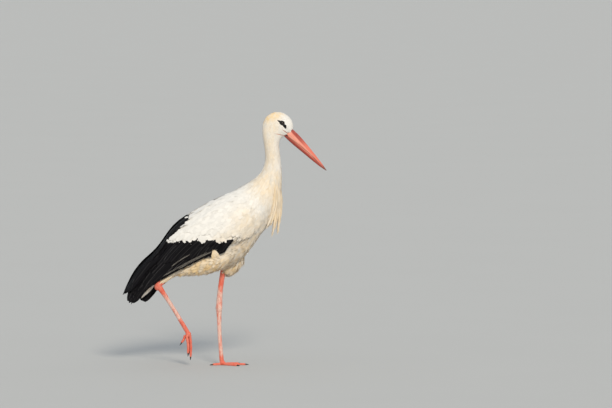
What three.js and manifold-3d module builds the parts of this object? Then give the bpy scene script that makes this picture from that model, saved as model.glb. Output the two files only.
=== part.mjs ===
// A white stork, life size, caught in mid-step: the left foot carries it and the right one swings forward.
// Millimetres. +Z is up, +X is the way it walks and +Y is its left. The origin is on the ground, under the
// middle of its bounding box.
//
// The bird is built whole and then parted by thin cuts. Head, neck and trunk are one sweep of oval
// sections. The folded wings are layers of a second, wider sweep, the cloak, cut to the outline of each row
// of feathers.

import * as THREE from "three";
import { mergeVertices } from "three/addons/utils/BufferGeometryUtils.js";
import Module from "manifold-3d";

const wasm = await Module();
wasm.setup();

// ---------------------------------------------------------------- driving dimensions

const GAP = 0.35; // left between two pieces that touch
const REACH = 600; // longer than anything that a cutting block has to pass

const EYE = { at: [211, 888], radius: 6.6, proud: 2.2, headHalf: 21.4 }; // and half the head's width there
const LAYER = { covering: 3.0, secondaries: 2.4, primaries: 2.2 }; // thickness of each row of the folded wing

const LEG = { shin: 10.4, ankle: [14.4, 12, 21], tarsus: 7.5, foot: 8.2 }; // radii
// Radii, and the height of the centre line as a share of them.
const TOE = { root: 5.6, end: 3.7, sole: 0.78 };
const TOE_LENGTH = { middle: 80, outer: 66, inner: 60, hind: 32 };
const CLAW = { length: 11, root: 2.9, point: 0.8 };
const SPREAD = { middle: 2, outer: 34, inner: -33, hind: 192 }; // degrees, towards the outer side

// Sections of head, neck and trunk: a point of the upper line and one of the lower line, as [x, z] in the
// bird's middle plane, and half the width there.
const BODY = [
  { top: [250, 865], bottom: [230, 841], half: 13 }, // round the base of the bill
  { top: [249, 888], bottom: [221, 837], half: 17.5 },
  { top: [236, 910], bottom: [211, 834], half: 21.5 }, // forehead
  { top: [213, 925], bottom: [205, 829], half: 24 },
  { top: [187, 929], bottom: [202, 823], half: 25.5 }, // crown
  { top: [160, 918], bottom: [200, 816], half: 26.5 },
  { top: [142, 896], bottom: [199, 809], half: 26.5 },
  { top: [136, 867], bottom: [199, 799], half: 26 }, // back of the head
  { top: [139, 831], bottom: [201, 784], half: 26 },
  { top: [146, 790], bottom: [204, 759], half: 26.5 },
  { top: [147, 752], bottom: [207, 729], half: 28.5 },
  { top: [139, 720], bottom: [209, 694], half: 33 },
  { top: [118, 692], bottom: [208, 651], half: 43 }, // root of the neck
  { top: [88, 671], bottom: [198, 604], half: 56 },
  { top: [48, 648], bottom: [182, 557], half: 69 }, // shoulders
  { top: [4, 621], bottom: [158, 513], half: 79 },
  { top: [-42, 591], bottom: [127, 474], half: 85 }, // keel
  { top: [-83, 570], bottom: [92, 423], half: 87 },
  { top: [-123, 531], bottom: [48, 380], half: 84 },
  { top: [-160, 489], bottom: [-10, 350], half: 76 }, // belly
  { top: [-191, 449], bottom: [-80, 337], half: 64 },
  { top: [-215, 412], bottom: [-149, 335], half: 48 },
  { top: [-235, 384], bottom: [-203, 344], half: 30 }, // root of the tail
  { top: [-248, 364], bottom: [-238, 354], half: 12 },
];

// Sections of the cloak, the outside of both folded wings. Its lower line runs below the feathers, which
// the outlines cut off.
const CLOAK = [
  { top: [99, 670], bottom: [205, 606], half: 42 },
  { top: [55, 650], bottom: [183, 558], half: 72 },
  { top: [10, 630], bottom: [158, 512], half: 90 },
  { top: [-43, 607], bottom: [126, 466], half: 99 },
  { top: [-90, 581], bottom: [94, 414], half: 103 },
  { top: [-135, 553], bottom: [50, 360], half: 102 },
  { top: [-176, 527], bottom: [-5, 325], half: 97 },
  { top: [-207, 489], bottom: [-75, 300], half: 88 },
  { top: [-233, 444], bottom: [-130, 275], half: 77 },
  { top: [-264, 411], bottom: [-178, 250], half: 67 },
  { top: [-298, 384], bottom: [-222, 222], half: 58 },
  { top: [-329, 346], bottom: [-262, 194], half: 50 },
  { top: [-355, 296], bottom: [-298, 172], half: 43 },
  { top: [-380, 245], bottom: [-332, 158], half: 36 },
];

// ---------------------------------------------------------------- solids

// A manifold solid of a geometry, whichever way its faces point.
function toSolid(geometry) {
  const bare = geometry.index ? geometry.toNonIndexed() : geometry.clone();
  bare.deleteAttribute("normal");
  bare.deleteAttribute("uv");
  const merged = mergeVertices(bare, 1e-4);
  const mesh = { numProp: 3, vertProperties: merged.attributes.position.array };
  const faces = new Uint32Array(merged.index.array);
  const solid = new wasm.Manifold(new wasm.Mesh({ ...mesh, triVerts: faces }));
  if (solid.volume() > 0) return solid;
  return new wasm.Manifold(new wasm.Mesh({ ...mesh, triVerts: faces.reverse() }));
}

function toGeometry(solid) {
  const { vertProperties, triVerts, numProp } = solid.getMesh();
  const geometry = new THREE.BufferGeometry();
  const points = new THREE.InterleavedBuffer(vertProperties, numProp);
  geometry.setAttribute("position", new THREE.InterleavedBufferAttribute(points, 3, 0));
  geometry.setIndex(new THREE.BufferAttribute(triVerts, 1));
  const plain = geometry.toNonIndexed();
  plain.computeVertexNormals();
  return plain;
}

// The largest body of a solid, without the crumbs that a cut can leave.
function largest(solid) {
  const bodies = solid.decompose();
  return bodies.reduce((best, body) => (body.volume() > best.volume() ? body : best));
}

const joined = (solids) => solids.reduce((sum, solid) => sum.add(solid));

// A closed skin round a line. frameAt(t) gives a section's centre and its two half axes, for t from 0 to 1.
function sweep(frameAt, around, along) {
  const tube = new THREE.CylinderGeometry(1, 1, 1, around, along);
  const place = tube.attributes.position;
  for (let i = 0; i < place.count; i++) {
    const { centre, up, side } = frameAt(0.5 - place.getY(i));
    const point = centre.clone();
    point.addScaledVector(up, place.getZ(i)).addScaledVector(side, place.getX(i));
    place.setXYZ(i, point.x, point.y, point.z);
  }
  return toSolid(tube);
}

// The frame of a list of sections, each of which lies crosswise to the bird's middle plane.
function sectionFrame(sections, inset = 0) {
  const line = (key) =>
    new THREE.CatmullRomCurve3(
      sections.map((s) => new THREE.Vector3(s[key][0], s.half, s[key][1])),
      false,
      "centripetal",
    );
  const [top, bottom] = [line("top"), line("bottom")];
  return (t) => {
    const [a, b] = [top.getPoint(t), bottom.getPoint(t)];
    const half = a.y;
    a.y = b.y = 0;
    const up = a.clone().sub(b).multiplyScalar(0.5);
    up.setLength(Math.max(up.length() - inset, 0.5));
    const side = new THREE.Vector3(0, Math.max(half - inset, 0.5), 0);
    return { centre: a.add(b).multiplyScalar(0.5), up, side };
  };
}

// The frame of a limb: a smooth line through points, with radii that change evenly between the given ones.
// lean is the way that a section's first axis points, and flat is its second radius as a share of the first.
function limbFrame(points, radii, lean, flat = 1, grow = 0) {
  const line = new THREE.CatmullRomCurve3(points.map((p) => new THREE.Vector3(...p)));
  return (t) => {
    const step = t * (radii.length - 1);
    const from = Math.min(Math.floor(step), radii.length - 2);
    const radius = THREE.MathUtils.lerp(radii[from], radii[from + 1], step - from);
    const tangent = line.getTangent(t);
    const up = new THREE.Vector3(...lean).projectOnPlane(tangent).setLength(radius + grow);
    const side = tangent.clone().cross(up).setLength(radius * flat + grow);
    return { centre: line.getPoint(t), up, side };
  };
}

// A block that fills the side of a plane which its normal points to, starting gap beyond the plane.
function beyond(point, normal, gap = GAP / 2) {
  const toward = new THREE.Vector3(...normal).normalize();
  const block = new THREE.BoxGeometry(2 * REACH, 2 * REACH, REACH);
  block.translate(0, 0, REACH / 2 + gap);
  block.applyQuaternion(new THREE.Quaternion().setFromUnitVectors(new THREE.Vector3(0, 0, 1), toward));
  block.translate(...point);
  return toSolid(block);
}

// A block across the bird between two values of y, with an outline of [x, z] corners that is grown outwards.
function prism(outline, fromY, toY, grow) {
  const points = outline.map((p) => new THREE.Vector2(...p));
  const turn = Math.sign(THREE.ShapeUtils.area(points));
  const outward = points.map((p, i) => {
    const run = points[(i + 1) % points.length].clone().sub(p).normalize();
    return new THREE.Vector2(run.y, -run.x).multiplyScalar(turn);
  });
  const moved = points.map((p, i) => {
    const [before, after] = [outward.at(i - 1), outward[i]];
    const mitre = grow / Math.max(1 + before.dot(after), 0.3);
    return p.clone().addScaledVector(before, mitre).addScaledVector(after, mitre);
  });
  const settings = { depth: toY - fromY, bevelEnabled: false };
  const block = new THREE.ExtrudeGeometry(new THREE.Shape(moved), settings);
  block.rotateX(Math.PI / 2);
  block.translate(0, toY, 0);
  return toSolid(block);
}

// The same through one side of the bird only.
function sidePrism(outline, side, grow) {
  const [near, far] = [(side * GAP) / 2, side * REACH];
  return prism(outline, Math.min(near, far), Math.max(near, far), grow);
}

// An ellipsoid with its long axis along a line.
function ellipsoid(centre, radii, along, grow = 0) {
  const ball = new THREE.SphereGeometry(1, 9, 6);
  ball.rotateX(Math.PI / 2);
  ball.scale(...radii.map((r) => r + grow));
  const axis = new THREE.Vector3(...along).normalize();
  ball.applyQuaternion(new THREE.Quaternion().setFromUnitVectors(new THREE.Vector3(0, 0, 1), axis));
  ball.translate(...centre);
  return toSolid(ball);
}

// ---------------------------------------------------------------- the named meshes

const stork = new THREE.Group();

const FINISH = {
  plumage: { color: 0xf2ece0, roughness: 0.9 },
  flight: { color: 0x17161a, roughness: 0.6 },
  bill: { color: 0xe0605a, roughness: 0.45 },
  leg: { color: 0xe8756c, roughness: 0.6 },
  claw: { color: 0x1d1815, roughness: 0.5 },
  eye: { color: 0x0e0b0a, roughness: 0.1 },
};

function addPiece(name, solid, finish) {
  const mesh = new THREE.Mesh(toGeometry(largest(solid)), new THREE.MeshStandardMaterial(FINISH[finish]));
  mesh.name = name;
  stork.add(mesh);
}

// ---------------------------------------------------------------- bill and eyes

// The bill along the straight line from the corner of the mouth to its tip. at is a share of that line,
// and culmen, parting and keel are the heights over it of the ridge, the mouth line and the lower edge.
const BILL = {
  gape: [224, 842],
  tip: [371.5, 713.5],
  rows: [
    { at: -0.09, culmen: 30, parting: -1, keel: -6, half: 10 }, // hidden in the head
    { at: 0.02, culmen: 32.5, parting: 1, keel: -8, half: 13 },
    { at: 0.18, culmen: 31.5, parting: 4, keel: -9, half: 12 },
    { at: 0.35, culmen: 27, parting: 5.5, keel: -8.2, half: 9.8 },
    { at: 0.52, culmen: 21.3, parting: 5.5, keel: -7.5, half: 7.6 },
    { at: 0.7, culmen: 14.6, parting: 4, keel: -6.6, half: 5.6 },
    { at: 0.88, culmen: 7, parting: 1.2, keel: -4.6, half: 3.2 },
    { at: 1, culmen: 1, parting: -0.2, keel: -1.2, half: 0.9 },
  ],
};
const SIDES = [
  [1, "left"],
  [-1, "right"],
];

// A point over the bill's straight line, in the middle plane.
function billPoint(at, height) {
  const line = new THREE.Vector2(...BILL.tip).sub(new THREE.Vector2(...BILL.gape));
  const over = new THREE.Vector2(-line.y, line.x).normalize();
  const point = new THREE.Vector2(...BILL.gape).addScaledVector(line, at).addScaledVector(over, height);
  return point.toArray();
}

function wholeBill(grow = 0) {
  const rows = BILL.rows.map(({ at, culmen, keel, half }) => ({
    top: billPoint(at, culmen),
    bottom: billPoint(at, keel),
    half,
  }));
  return sweep(sectionFrame(rows, -grow), 12, 12);
}

// All that lies under the mouth line.
function underMouth(grow) {
  const depth = -60;
  const mouth = BILL.rows.map(({ at, parting }) => billPoint(at, parting));
  const ends = [billPoint(1.1, 0), billPoint(1.1, depth), billPoint(-0.15, depth), billPoint(-0.15, -1)];
  return prism([...mouth, ...ends], -REACH / 2, REACH / 2, grow);
}

function eyeball(side, grow = 0) {
  const across = EYE.headHalf + EYE.proud - EYE.radius;
  const radii = [EYE.radius, EYE.radius, EYE.radius];
  return ellipsoid([EYE.at[0], side * across, EYE.at[1]], radii, [0, 1, 0], grow);
}

function addBillAndEyes() {
  addPiece("bill_upper", wholeBill().subtract(underMouth(GAP / 2)), "bill");
  addPiece("bill_lower", wholeBill().intersect(underMouth(-GAP / 2)), "bill");
  for (const [side, name] of SIDES) addPiece(`eye_${name}`, eyeball(side), "eye");
}

// ---------------------------------------------------------------- legs

// Each leg from the feathered thigh down. The left one stands and the right one swings.
const LEGS = {
  left: {
    out: 1, // which way the outer toe is, along Y
    thigh: { from: [46, 36, 424], to: [2, 26, 333], radii: [22, 40, 36, 27, 18] },
    knee: [-6, 26, 350],
    ankle: [-22, 18, 209],
    foot: [-12, 6, 15],
    bow: 2.5,
  },
  right: {
    out: -1,
    thigh: { from: [26, -44, 422], to: [-190, -40, 343], radii: [24, 44, 46, 38, 24, 12] },
    knee: [-150, -38, 378],
    ankle: [-243, -40, 298],
    foot: [-134, -30, 121],
    bow: -2,
  },
};

// Points of a straight bone's line, bowed a little in the middle, between two joints.
function bone(from, to, bow) {
  const [a, b] = [new THREE.Vector3(...from), new THREE.Vector3(...to)];
  const along = b.clone().sub(a).normalize();
  const middle = a.clone().lerp(b, 0.5);
  middle.addScaledVector(new THREE.Vector3(0, 1, 0).cross(along).normalize(), bow);
  return [a, middle, b].map((p) => p.toArray());
}

function thigh(leg) {
  const { from, to, radii } = leg.thigh;
  return sweep(limbFrame(bone(from, to, -6), radii, [1, 0, 0], 0.82), 12, 7);
}

function shin(leg, grow = 0) {
  const radii = [LEG.shin, LEG.shin * 0.92, LEG.shin, LEG.ankle[1]];
  return sweep(limbFrame(bone(leg.knee, leg.ankle, leg.bow), radii, [1, 0, 0], 0.92, grow), 8, 4);
}

function tarsus(leg, grow = 0) {
  const radii = [LEG.ankle[1], LEG.tarsus * 1.1, LEG.tarsus, LEG.tarsus, LEG.tarsus * 1.05, LEG.foot];
  return sweep(limbFrame(bone(leg.ankle, leg.foot, leg.bow), radii, [1, 0, 0], 0.9, grow), 8, 6);
}

function ankle(leg, grow = 0) {
  const down = new THREE.Vector3(...leg.foot).sub(new THREE.Vector3(...leg.ankle));
  const bend = new THREE.Vector3(...leg.ankle).sub(new THREE.Vector3(...leg.knee));
  const along = down.normalize().add(bend.normalize()).toArray();
  return ellipsoid(leg.ankle, LEG.ankle, along, grow);
}

// ---------------------------------------------------------------- feet

// A toe's line: flat on the ground for the standing foot, hanging and half closed for the lifted one.
const TOES = ["middle", "outer", "inner", "hind"];
const HANGING = {
  middle: { start: [-127, -30, 113], end: [-125, -30, 33] },
  outer: { start: [-139, -37, 113], end: [-134, -40, 47] },
  inner: { start: [-134, -23, 112], end: [-131, -20, 52] },
  hind: { start: [-145, -29, 113], end: [-158, -28, 86] },
};

const ground = beyond([0, 0, 0], [0, 0, -1], 0);
const PAD = { centre: [-9, 6, 8.6], radii: [11, 10.5, 9] };
const PAD_HANGING = { centre: [-133, -30, 117], radii: [11, 10, 10.5] };

function toeLine(name, toe) {
  if (name === "right") return [HANGING[toe].start, HANGING[toe].end];
  const turn = THREE.MathUtils.degToRad(SPREAD[toe]);
  const toward = [Math.cos(turn), Math.sin(turn)];
  const [x, y] = PAD.centre;
  const at = (far, radius) => [x + toward[0] * far, y + toward[1] * far, radius * TOE.sole];
  return [at(5, TOE.root), at(TOE_LENGTH[toe] + 5, TOE.end)];
}

function toe(name, which, grow = 0) {
  const [from, to] = toeLine(name, which);
  const radii = [1, 0.9, 1, 0.86, 0.94, 0.8, 0.84, 0.66].map((share) => share * TOE.root);
  const bow = name === "right" ? -2.5 : 0;
  const lean = name === "right" ? [1, 0, 0] : [0, 0, 1];
  return sweep(limbFrame(bone(from, to, bow), radii, lean, 1, grow), 6, 7);
}

function claw(name, which, grow = 0) {
  const [a, b] = toeLine(name, which).map((p) => new THREE.Vector3(...p));
  const along = b.clone().sub(a).normalize();
  const [root, point] = [b.clone().addScaledVector(along, -3), b.clone().addScaledVector(along, CLAW.length)];
  const down = name === "right" ? new THREE.Vector3(-1.5, 0, 0) : new THREE.Vector3(0, 0, -1.2);
  const middle = root.clone().lerp(point, 0.55);
  point.add(down);
  const radii = [CLAW.root, CLAW.root * 0.8, CLAW.point];
  const lean = name === "right" ? [1, 0, 0] : [0, 0, 1];
  const line = [root, middle, point].map((p) => p.toArray());
  return sweep(limbFrame(line, radii, lean, 0.85, grow), 6, 3);
}

// The pad under the toes' roots, with the short webs that join the front toes.
function pad(name, grow = 0) {
  const { centre, radii } = name === "left" ? PAD : PAD_HANGING;
  return ellipsoid(centre, radii, [0, 0, 1], grow);
}

function webs() {
  const [x, y] = PAD.centre;
  const shape = new THREE.Shape();
  const corner = (toeName, far) => {
    const turn = THREE.MathUtils.degToRad(SPREAD[toeName]);
    return [x + far * Math.cos(turn), y + far * Math.sin(turn)];
  };
  shape.moveTo(x, y);
  shape.lineTo(...corner("inner", 26));
  shape.quadraticCurveTo(x + 17, y - 6, ...corner("middle", 27));
  shape.quadraticCurveTo(x + 17, y + 7, ...corner("outer", 27));
  shape.closePath();
  const plate = new THREE.ExtrudeGeometry(shape, { depth: 2.2, bevelEnabled: false, curveSegments: 4 });
  plate.translate(0, 0, 1.6);
  return toSolid(plate);
}

function addLeg(name, trunk) {
  const leg = LEGS[name];
  const thighSolid = thigh(leg).subtract(shin(leg, GAP)).subtract(trunk);
  addPiece(`leg_${name}_thigh`, thighSolid, "plumage");
  const shinSolid = shin(leg).subtract(ankle(leg, GAP)).subtract(trunk);
  addPiece(`leg_${name}_shin`, shinSolid, "leg");
  addPiece(`leg_${name}_ankle`, ankle(leg), "leg");
  const below = tarsus(leg).subtract(ankle(leg, GAP)).subtract(shin(leg, GAP)).subtract(pad(name, GAP));
  addPiece(`leg_${name}_tarsus`, below, "leg");
  addFoot(name);
}

// Each toe gives way to the bones, the pad and the toes made before it, and the pad's webs to all of them.
function addFoot(name) {
  const leg = LEGS[name];
  const onGround = (solid) => (name === "left" ? solid.subtract(ground) : solid);
  const made = [];
  for (const which of TOES) {
    const inWay = joined([tarsus(leg, GAP), pad(name, GAP), claw(name, which, GAP), ...made]);
    addPiece(`toe_${name}_${which}`, onGround(toe(name, which).subtract(inWay)), "leg");
    addPiece(`claw_${name}_${which}`, onGround(claw(name, which)), "claw");
    made.push(toe(name, which, GAP));
  }
  const web = name === "left" ? pad(name).add(webs().subtract(joined(made))) : pad(name);
  addPiece(`foot_${name}_pad`, onGround(web), "leg");
}

// ---------------------------------------------------------------- wings

// Rounded feather ends along a straight run, as corners that leave out the run's last point. They stand
// proud by depth, to the left of the run or, with a negative depth, to its right.
function tips(from, to, count, depth) {
  const [ax, az] = from;
  const run = [to[0] - ax, to[1] - az];
  const length = Math.hypot(...run);
  const out = [-run[1] / length, run[0] / length].map((v) => v * depth);
  const corners = [];
  for (let i = 0; i < count; i++)
    for (const [along, proud] of TIP_SHAPE) {
      const share = (i + along) / count;
      corners.push([ax + run[0] * share + out[0] * proud, az + run[1] * share + out[1] * proud]);
    }
  return corners;
}

// How far along its own width, and how far proud, the corners of one feather's end are.
const TIP_SHAPE = [
  [0, 0],
  [0.3, 0.95],
  [0.7, 1],
];

// The outlines of the rows in the bird's middle plane, as [x, z] corners.
const BACK = [-135, 549]; // where the black of the back begins
const NOTCH = [-130, 536]; // the front corner of the black strip
const FOLD = [-211, 455]; // the rear corner of the white coverts
const COVERTS_FRONT = [24, 452]; // the front end of the black
const BACK_TOP = 700; // above everything

const tertialEdge = [...tips(NOTCH, FOLD, 4, -3), FOLD];

const covertsOutline = [
  [122, 498],
  [141, 530],
  [147, 570],
  [140, 610],
  [120, BACK_TOP],
  [BACK[0], BACK_TOP],
  BACK,
  ...tertialEdge,
  ...tips(FOLD, COVERTS_FRONT, 7, -5).slice(1),
  COVERTS_FRONT,
  [60, 460],
  [92, 474],
];

const tertialsOutline = [
  [BACK[0], BACK_TOP],
  [-400, BACK_TOP],
  [-400, 255],
  [-375, 256],
  [-364, 263],
  [-357, 284],
  [-349, 272],
  [-340, 290],
  [-326, 296],
  [-290, 345],
  [-250, 398],
  ...[...tertialEdge].reverse(),
  BACK,
];

// The secondaries hang below the coverts. The left wing droops more behind, past the tail.
const secondariesFront = [
  [44, 474],
  [20, 447],
  [-6, 416],
  [-30, 405],
  [-32, 420],
  ...tips([-60, 400], [-109, 374], 3, 3),
];
const secondariesTop = [
  [-300, 400],
  [-254, 440],
  [-205, 490],
  [-120, 490],
];
const secondariesOutline = {
  right: [
    ...secondariesFront,
    ...tips([-109, 374], [-262, 296], 5, 4),
    [-262, 296],
    [-282, 280],
    ...tips([-302, 262], [-324, 252], 2, 3),
    [-324, 252],
    ...secondariesTop,
  ],
  left: [
    ...secondariesFront,
    ...tips([-109, 374], [-236, 305], 4, 4),
    [-248, 284],
    [-262, 252],
    ...tips([-278, 233], [-322, 236], 3, 4),
    [-322, 236],
    ...secondariesTop,
  ],
};
const primariesOutline = [
  [-330, 420],
  [-348, 330],
  [-352, 262],
  ...tips([-351, 234], [-322, 240], 2, 9),
  [-322, 240],
  [-300, 262],
  [-262, 306],
  [-190, 380],
  [-230, 440],
];

const cloak = (inset) => sweep(sectionFrame(CLOAK, inset), 16, 13);

// The rows from the outside in: coverts and tertials, then secondaries, then primaries. Coverts are filled in
// down to the trunk.
function addWings(trunk) {
  const underFirst = LAYER.covering;
  const underSecond = underFirst + GAP + LAYER.secondaries;
  const underThird = underSecond + GAP + LAYER.primaries;
  const outside = cloak(0).subtract(trunk);
  const rows = {
    tertials: outside.subtract(cloak(underFirst)),
    secondaries: cloak(underFirst + GAP).subtract(cloak(underSecond)).subtract(trunk),
    primaries: cloak(underSecond + GAP).subtract(cloak(underThird)).subtract(trunk),
  };
  for (const [side, name] of SIDES) {
    const cut = (solid, outline) => solid.intersect(sidePrism(outline, side, -GAP / 2));
    const below = cloak(underFirst).intersect(sidePrism(secondariesOutline[name], side, GAP));
    addPiece(`wing_${name}_coverts`, cut(outside, covertsOutline).subtract(below), "plumage");
    addPiece(`wing_${name}_tertials`, cut(rows.tertials, tertialsOutline), "flight");
    addPiece(`wing_${name}_secondaries`, cut(rows.secondaries, secondariesOutline[name]), "flight");
    addPiece(`wing_${name}_primaries`, cut(rows.primaries, primariesOutline), "flight");
  }
}

// ---------------------------------------------------------------- tail and breast plumes

const TAIL = [
  { top: [-205, 402], bottom: [-228, 360], half: 25 },
  { top: [-238, 362], bottom: [-243, 318], half: 28 },
  { top: [-272, 314], bottom: [-268, 277], half: 33 },
  { top: [-308, 256], bottom: [-309, 243], half: 30 },
];

function addTail(trunk) {
  addPiece("tail", sweep(sectionFrame(TAIL), 12, 4).subtract(trunk), "plumage");
}

// Long pointed feathers that hang from the root of the neck, in front of the breast. Each has its tip at
// [x, z], from the middle one outwards.
const PLUMES = {
  tips: [
    [192, 480],
    [184, 503],
    [171, 473],
    [157, 503],
  ],
  pitch: 10.5, // from one to the next, across the breast
  radii: [6, 10, 9, 6, 1],
};

function addPlumes(trunk) {
  const last = PLUMES.tips.length - 1;
  const plumes = [];
  for (let i = -last; i <= last; i++) {
    const out = Math.abs(i);
    const y = i * PLUMES.pitch;
    const [tipX, tipZ] = PLUMES.tips[out];
    const line = [
      [200 - 1.6 * out * out, y * 1.1, 652],
      [(200 + tipX) / 2 + 4 - 1.2 * out, y, 580],
      [tipX, y * 0.8, tipZ],
    ];
    plumes.push(sweep(limbFrame(line, PLUMES.radii, [1, 0, 0], 0.85), 6, 4));
  }
  addPiece("breast_plumes", joined(plumes).subtract(trunk), "plumage");
}

// ---------------------------------------------------------------- head, neck and trunk

// Cuts across the body: a point in the middle plane and the way down the body there.
const CUTS = [
  { point: [169, 0, 838], down: [-0.6, 0, -0.8] }, // head from neck
  { point: [177, 0, 742], down: [0.1, 0, -1] }, // neck in two
  { point: [158, 0, 668], down: [-0.45, 0, -1] }, // neck from trunk
];

const wholeBody = (grow) => sweep(sectionFrame(BODY, -grow), 16, 33);

function addBody() {
  const hollows = [wholeBill(GAP), eyeball(1, GAP), eyeball(-1, GAP)];
  const body = wholeBody(0).subtract(joined(hollows));
  const parts = ["head", "neck_upper", "neck_lower", "trunk"];
  parts.forEach((name, i) => {
    let part = body;
    if (i > 0) part = part.intersect(beyond(CUTS[i - 1].point, CUTS[i - 1].down));
    if (i < CUTS.length) {
      const up = CUTS[i].down.map((v) => -v);
      part = part.intersect(beyond(CUTS[i].point, up));
    }
    addPiece(name, part, "plumage");
  });
}

const grownBody = wholeBody(GAP);
addBody();
addBillAndEyes();
addPlumes(grownBody);
addTail(grownBody);
addWings(grownBody);
for (const [, name] of SIDES) addLeg(name, grownBody);

export default stork;
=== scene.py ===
"""A white stork in mid-step, life size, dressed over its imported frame: skin, coat, flight feathers, bill,
eyes and claws. Metres. +Z is up, +X is the way it walks and +Y is its left."""

import functools
import math
from collections import namedtuple

import bmesh
import bpy
import numpy as np
from bpy.props import FloatProperty, FloatVectorProperty, IntProperty, PointerProperty
from mathutils import Matrix, Vector
from mathutils.bvhtree import BVHTree


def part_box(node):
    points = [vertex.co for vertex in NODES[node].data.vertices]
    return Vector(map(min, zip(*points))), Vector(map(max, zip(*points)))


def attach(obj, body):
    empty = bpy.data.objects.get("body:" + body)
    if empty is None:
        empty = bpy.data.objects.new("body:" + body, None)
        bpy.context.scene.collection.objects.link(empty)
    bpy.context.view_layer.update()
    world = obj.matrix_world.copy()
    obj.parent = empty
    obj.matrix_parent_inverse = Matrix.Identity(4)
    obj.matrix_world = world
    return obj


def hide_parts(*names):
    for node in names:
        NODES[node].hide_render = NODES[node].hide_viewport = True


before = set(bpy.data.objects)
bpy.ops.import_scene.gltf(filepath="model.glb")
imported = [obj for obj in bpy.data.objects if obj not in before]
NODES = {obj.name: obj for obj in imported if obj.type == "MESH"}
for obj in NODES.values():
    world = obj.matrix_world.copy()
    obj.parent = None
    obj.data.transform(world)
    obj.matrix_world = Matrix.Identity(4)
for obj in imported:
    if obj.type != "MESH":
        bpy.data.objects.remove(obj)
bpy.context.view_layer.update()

bl_info = {
    "name": "White stork in mid-step",
    "version": (1, 0, 0),
    "blender": (4, 5, 0),
    "location": "View3D > Sidebar > Stork",
    "description": "Skin, coat, flight feathers, bill, eyes and claws of a life-size white stork",
    "category": "Object",
}

SIDES = {"left": 1, "right": -1}
TOES = ("middle", "outer", "inner", "hind")

# ---------------------------------------------------------------- what grows where

BODY_NODES = ("head", "neck_upper", "neck_lower", "trunk") + tuple(
    node for side in SIDES for node in (f"wing_{side}_coverts", f"leg_{side}_thigh")
)
LEG_NODES = tuple(
    f"leg_{side}_{part}" for side in SIDES for part in ("shin", "ankle", "tarsus")
) + tuple(f"foot_{side}_pad" for side in SIDES) + tuple(
    f"toe_{side}_{toe}" for side in SIDES for toe in TOES
)
BILL_NODES = ("bill_upper", "bill_lower")
FLIGHT_ROWS = ("tertials", "secondaries", "primaries")
FLIGHT_NODES = tuple(f"wing_{side}_{row}" for side in SIDES for row in FLIGHT_ROWS)
OUTER_NODES = FLIGHT_NODES + (
    "trunk", "wing_left_coverts", "wing_right_coverts", "leg_left_thigh", "leg_right_thigh"
)
# The pieces of the coat, and the CAD nodes that each lies over.
COAT_PIECES = {
    "coat_head": ("head",),
    "coat_neck": ("neck_upper", "neck_lower"),
    "coat_trunk": ("trunk",),
    "coat_wing_left": ("wing_left_coverts",),
    "coat_wing_right": ("wing_right_coverts",),
    "coat_thigh_left": ("leg_left_thigh",),
    "coat_thigh_right": ("leg_right_thigh",),
}
WING_PIECES = ("coat_wing_left", "coat_wing_right")
THIGH_PIECES = ("coat_thigh_left", "coat_thigh_right")
PLUMED_PIECES = ("coat_neck", "coat_trunk")  # the pieces that the breast's plumes hang over

# The coat at a few spots of the bird's side view: feather length and width, how deep the coat is, how far
# apart its roots are, and how much its tips stand out.
Spot = namedtuple("Spot", "place length width depth apart loose")
COAT = (
    Spot((0.246, 0.862), 0.0065, 0.0022, 0.0006, 0.0021, 0.0000),  # round the base of the bill
    Spot((0.222, 0.850), 0.0085, 0.0024, 0.0007, 0.0023, 0.0001),  # chin
    Spot((0.211, 0.888), 0.0070, 0.0022, 0.0006, 0.0021, 0.0000),  # round the eye
    Spot((0.228, 0.912), 0.0090, 0.0026, 0.0006, 0.0025, 0.0000),  # forehead
    Spot((0.185, 0.925), 0.0130, 0.0032, 0.0008, 0.0029, 0.0001),  # crown
    Spot((0.180, 0.860), 0.0140, 0.0034, 0.0009, 0.0031, 0.0001),  # cheek
    Spot((0.145, 0.880), 0.0180, 0.0038, 0.0011, 0.0034, 0.0001),  # nape
    Spot((0.172, 0.800), 0.0260, 0.0044, 0.0013, 0.0038, 0.0002),  # upper neck
    Spot((0.176, 0.730), 0.0340, 0.0052, 0.0017, 0.0044, 0.0003),  # lower neck
    Spot((0.120, 0.680), 0.0360, 0.0095, 0.0022, 0.0060, 0.0002),  # shoulders
    Spot((0.200, 0.640), 0.0600, 0.0064, 0.0026, 0.0054, 0.0010),  # front of the breast
    Spot((0.175, 0.600), 0.0600, 0.0070, 0.0028, 0.0060, 0.0012),  # side of its front
    Spot((0.010, 0.610), 0.0380, 0.0165, 0.0022, 0.0084, 0.0002),  # mantle
    Spot((-0.120, 0.530), 0.0400, 0.0175, 0.0022, 0.0086, 0.0002),  # back
    Spot((0.060, 0.560), 0.0340, 0.0165, 0.0022, 0.0080, 0.0002),  # shoulder of the wing
    Spot((-0.060, 0.490), 0.0380, 0.0185, 0.0022, 0.0086, 0.0003),  # coverts
    Spot((0.150, 0.520), 0.0440, 0.0095, 0.0028, 0.0068, 0.0008),  # side of the breast
    Spot((0.085, 0.425), 0.0440, 0.0076, 0.0030, 0.0064, 0.0044),  # front of the belly
    Spot((0.030, 0.375), 0.0400, 0.0076, 0.0030, 0.0064, 0.0036),  # belly between the legs
    Spot((-0.150, 0.345), 0.0380, 0.0088, 0.0028, 0.0066, 0.0022),  # vent
    Spot((0.010, 0.340), 0.0200, 0.0050, 0.0022, 0.0046, 0.0008),  # cuff of the left thigh
    Spot((-0.185, 0.343), 0.0220, 0.0046, 0.0018, 0.0044, 0.0006),  # cuff of the right thigh
)

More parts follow.
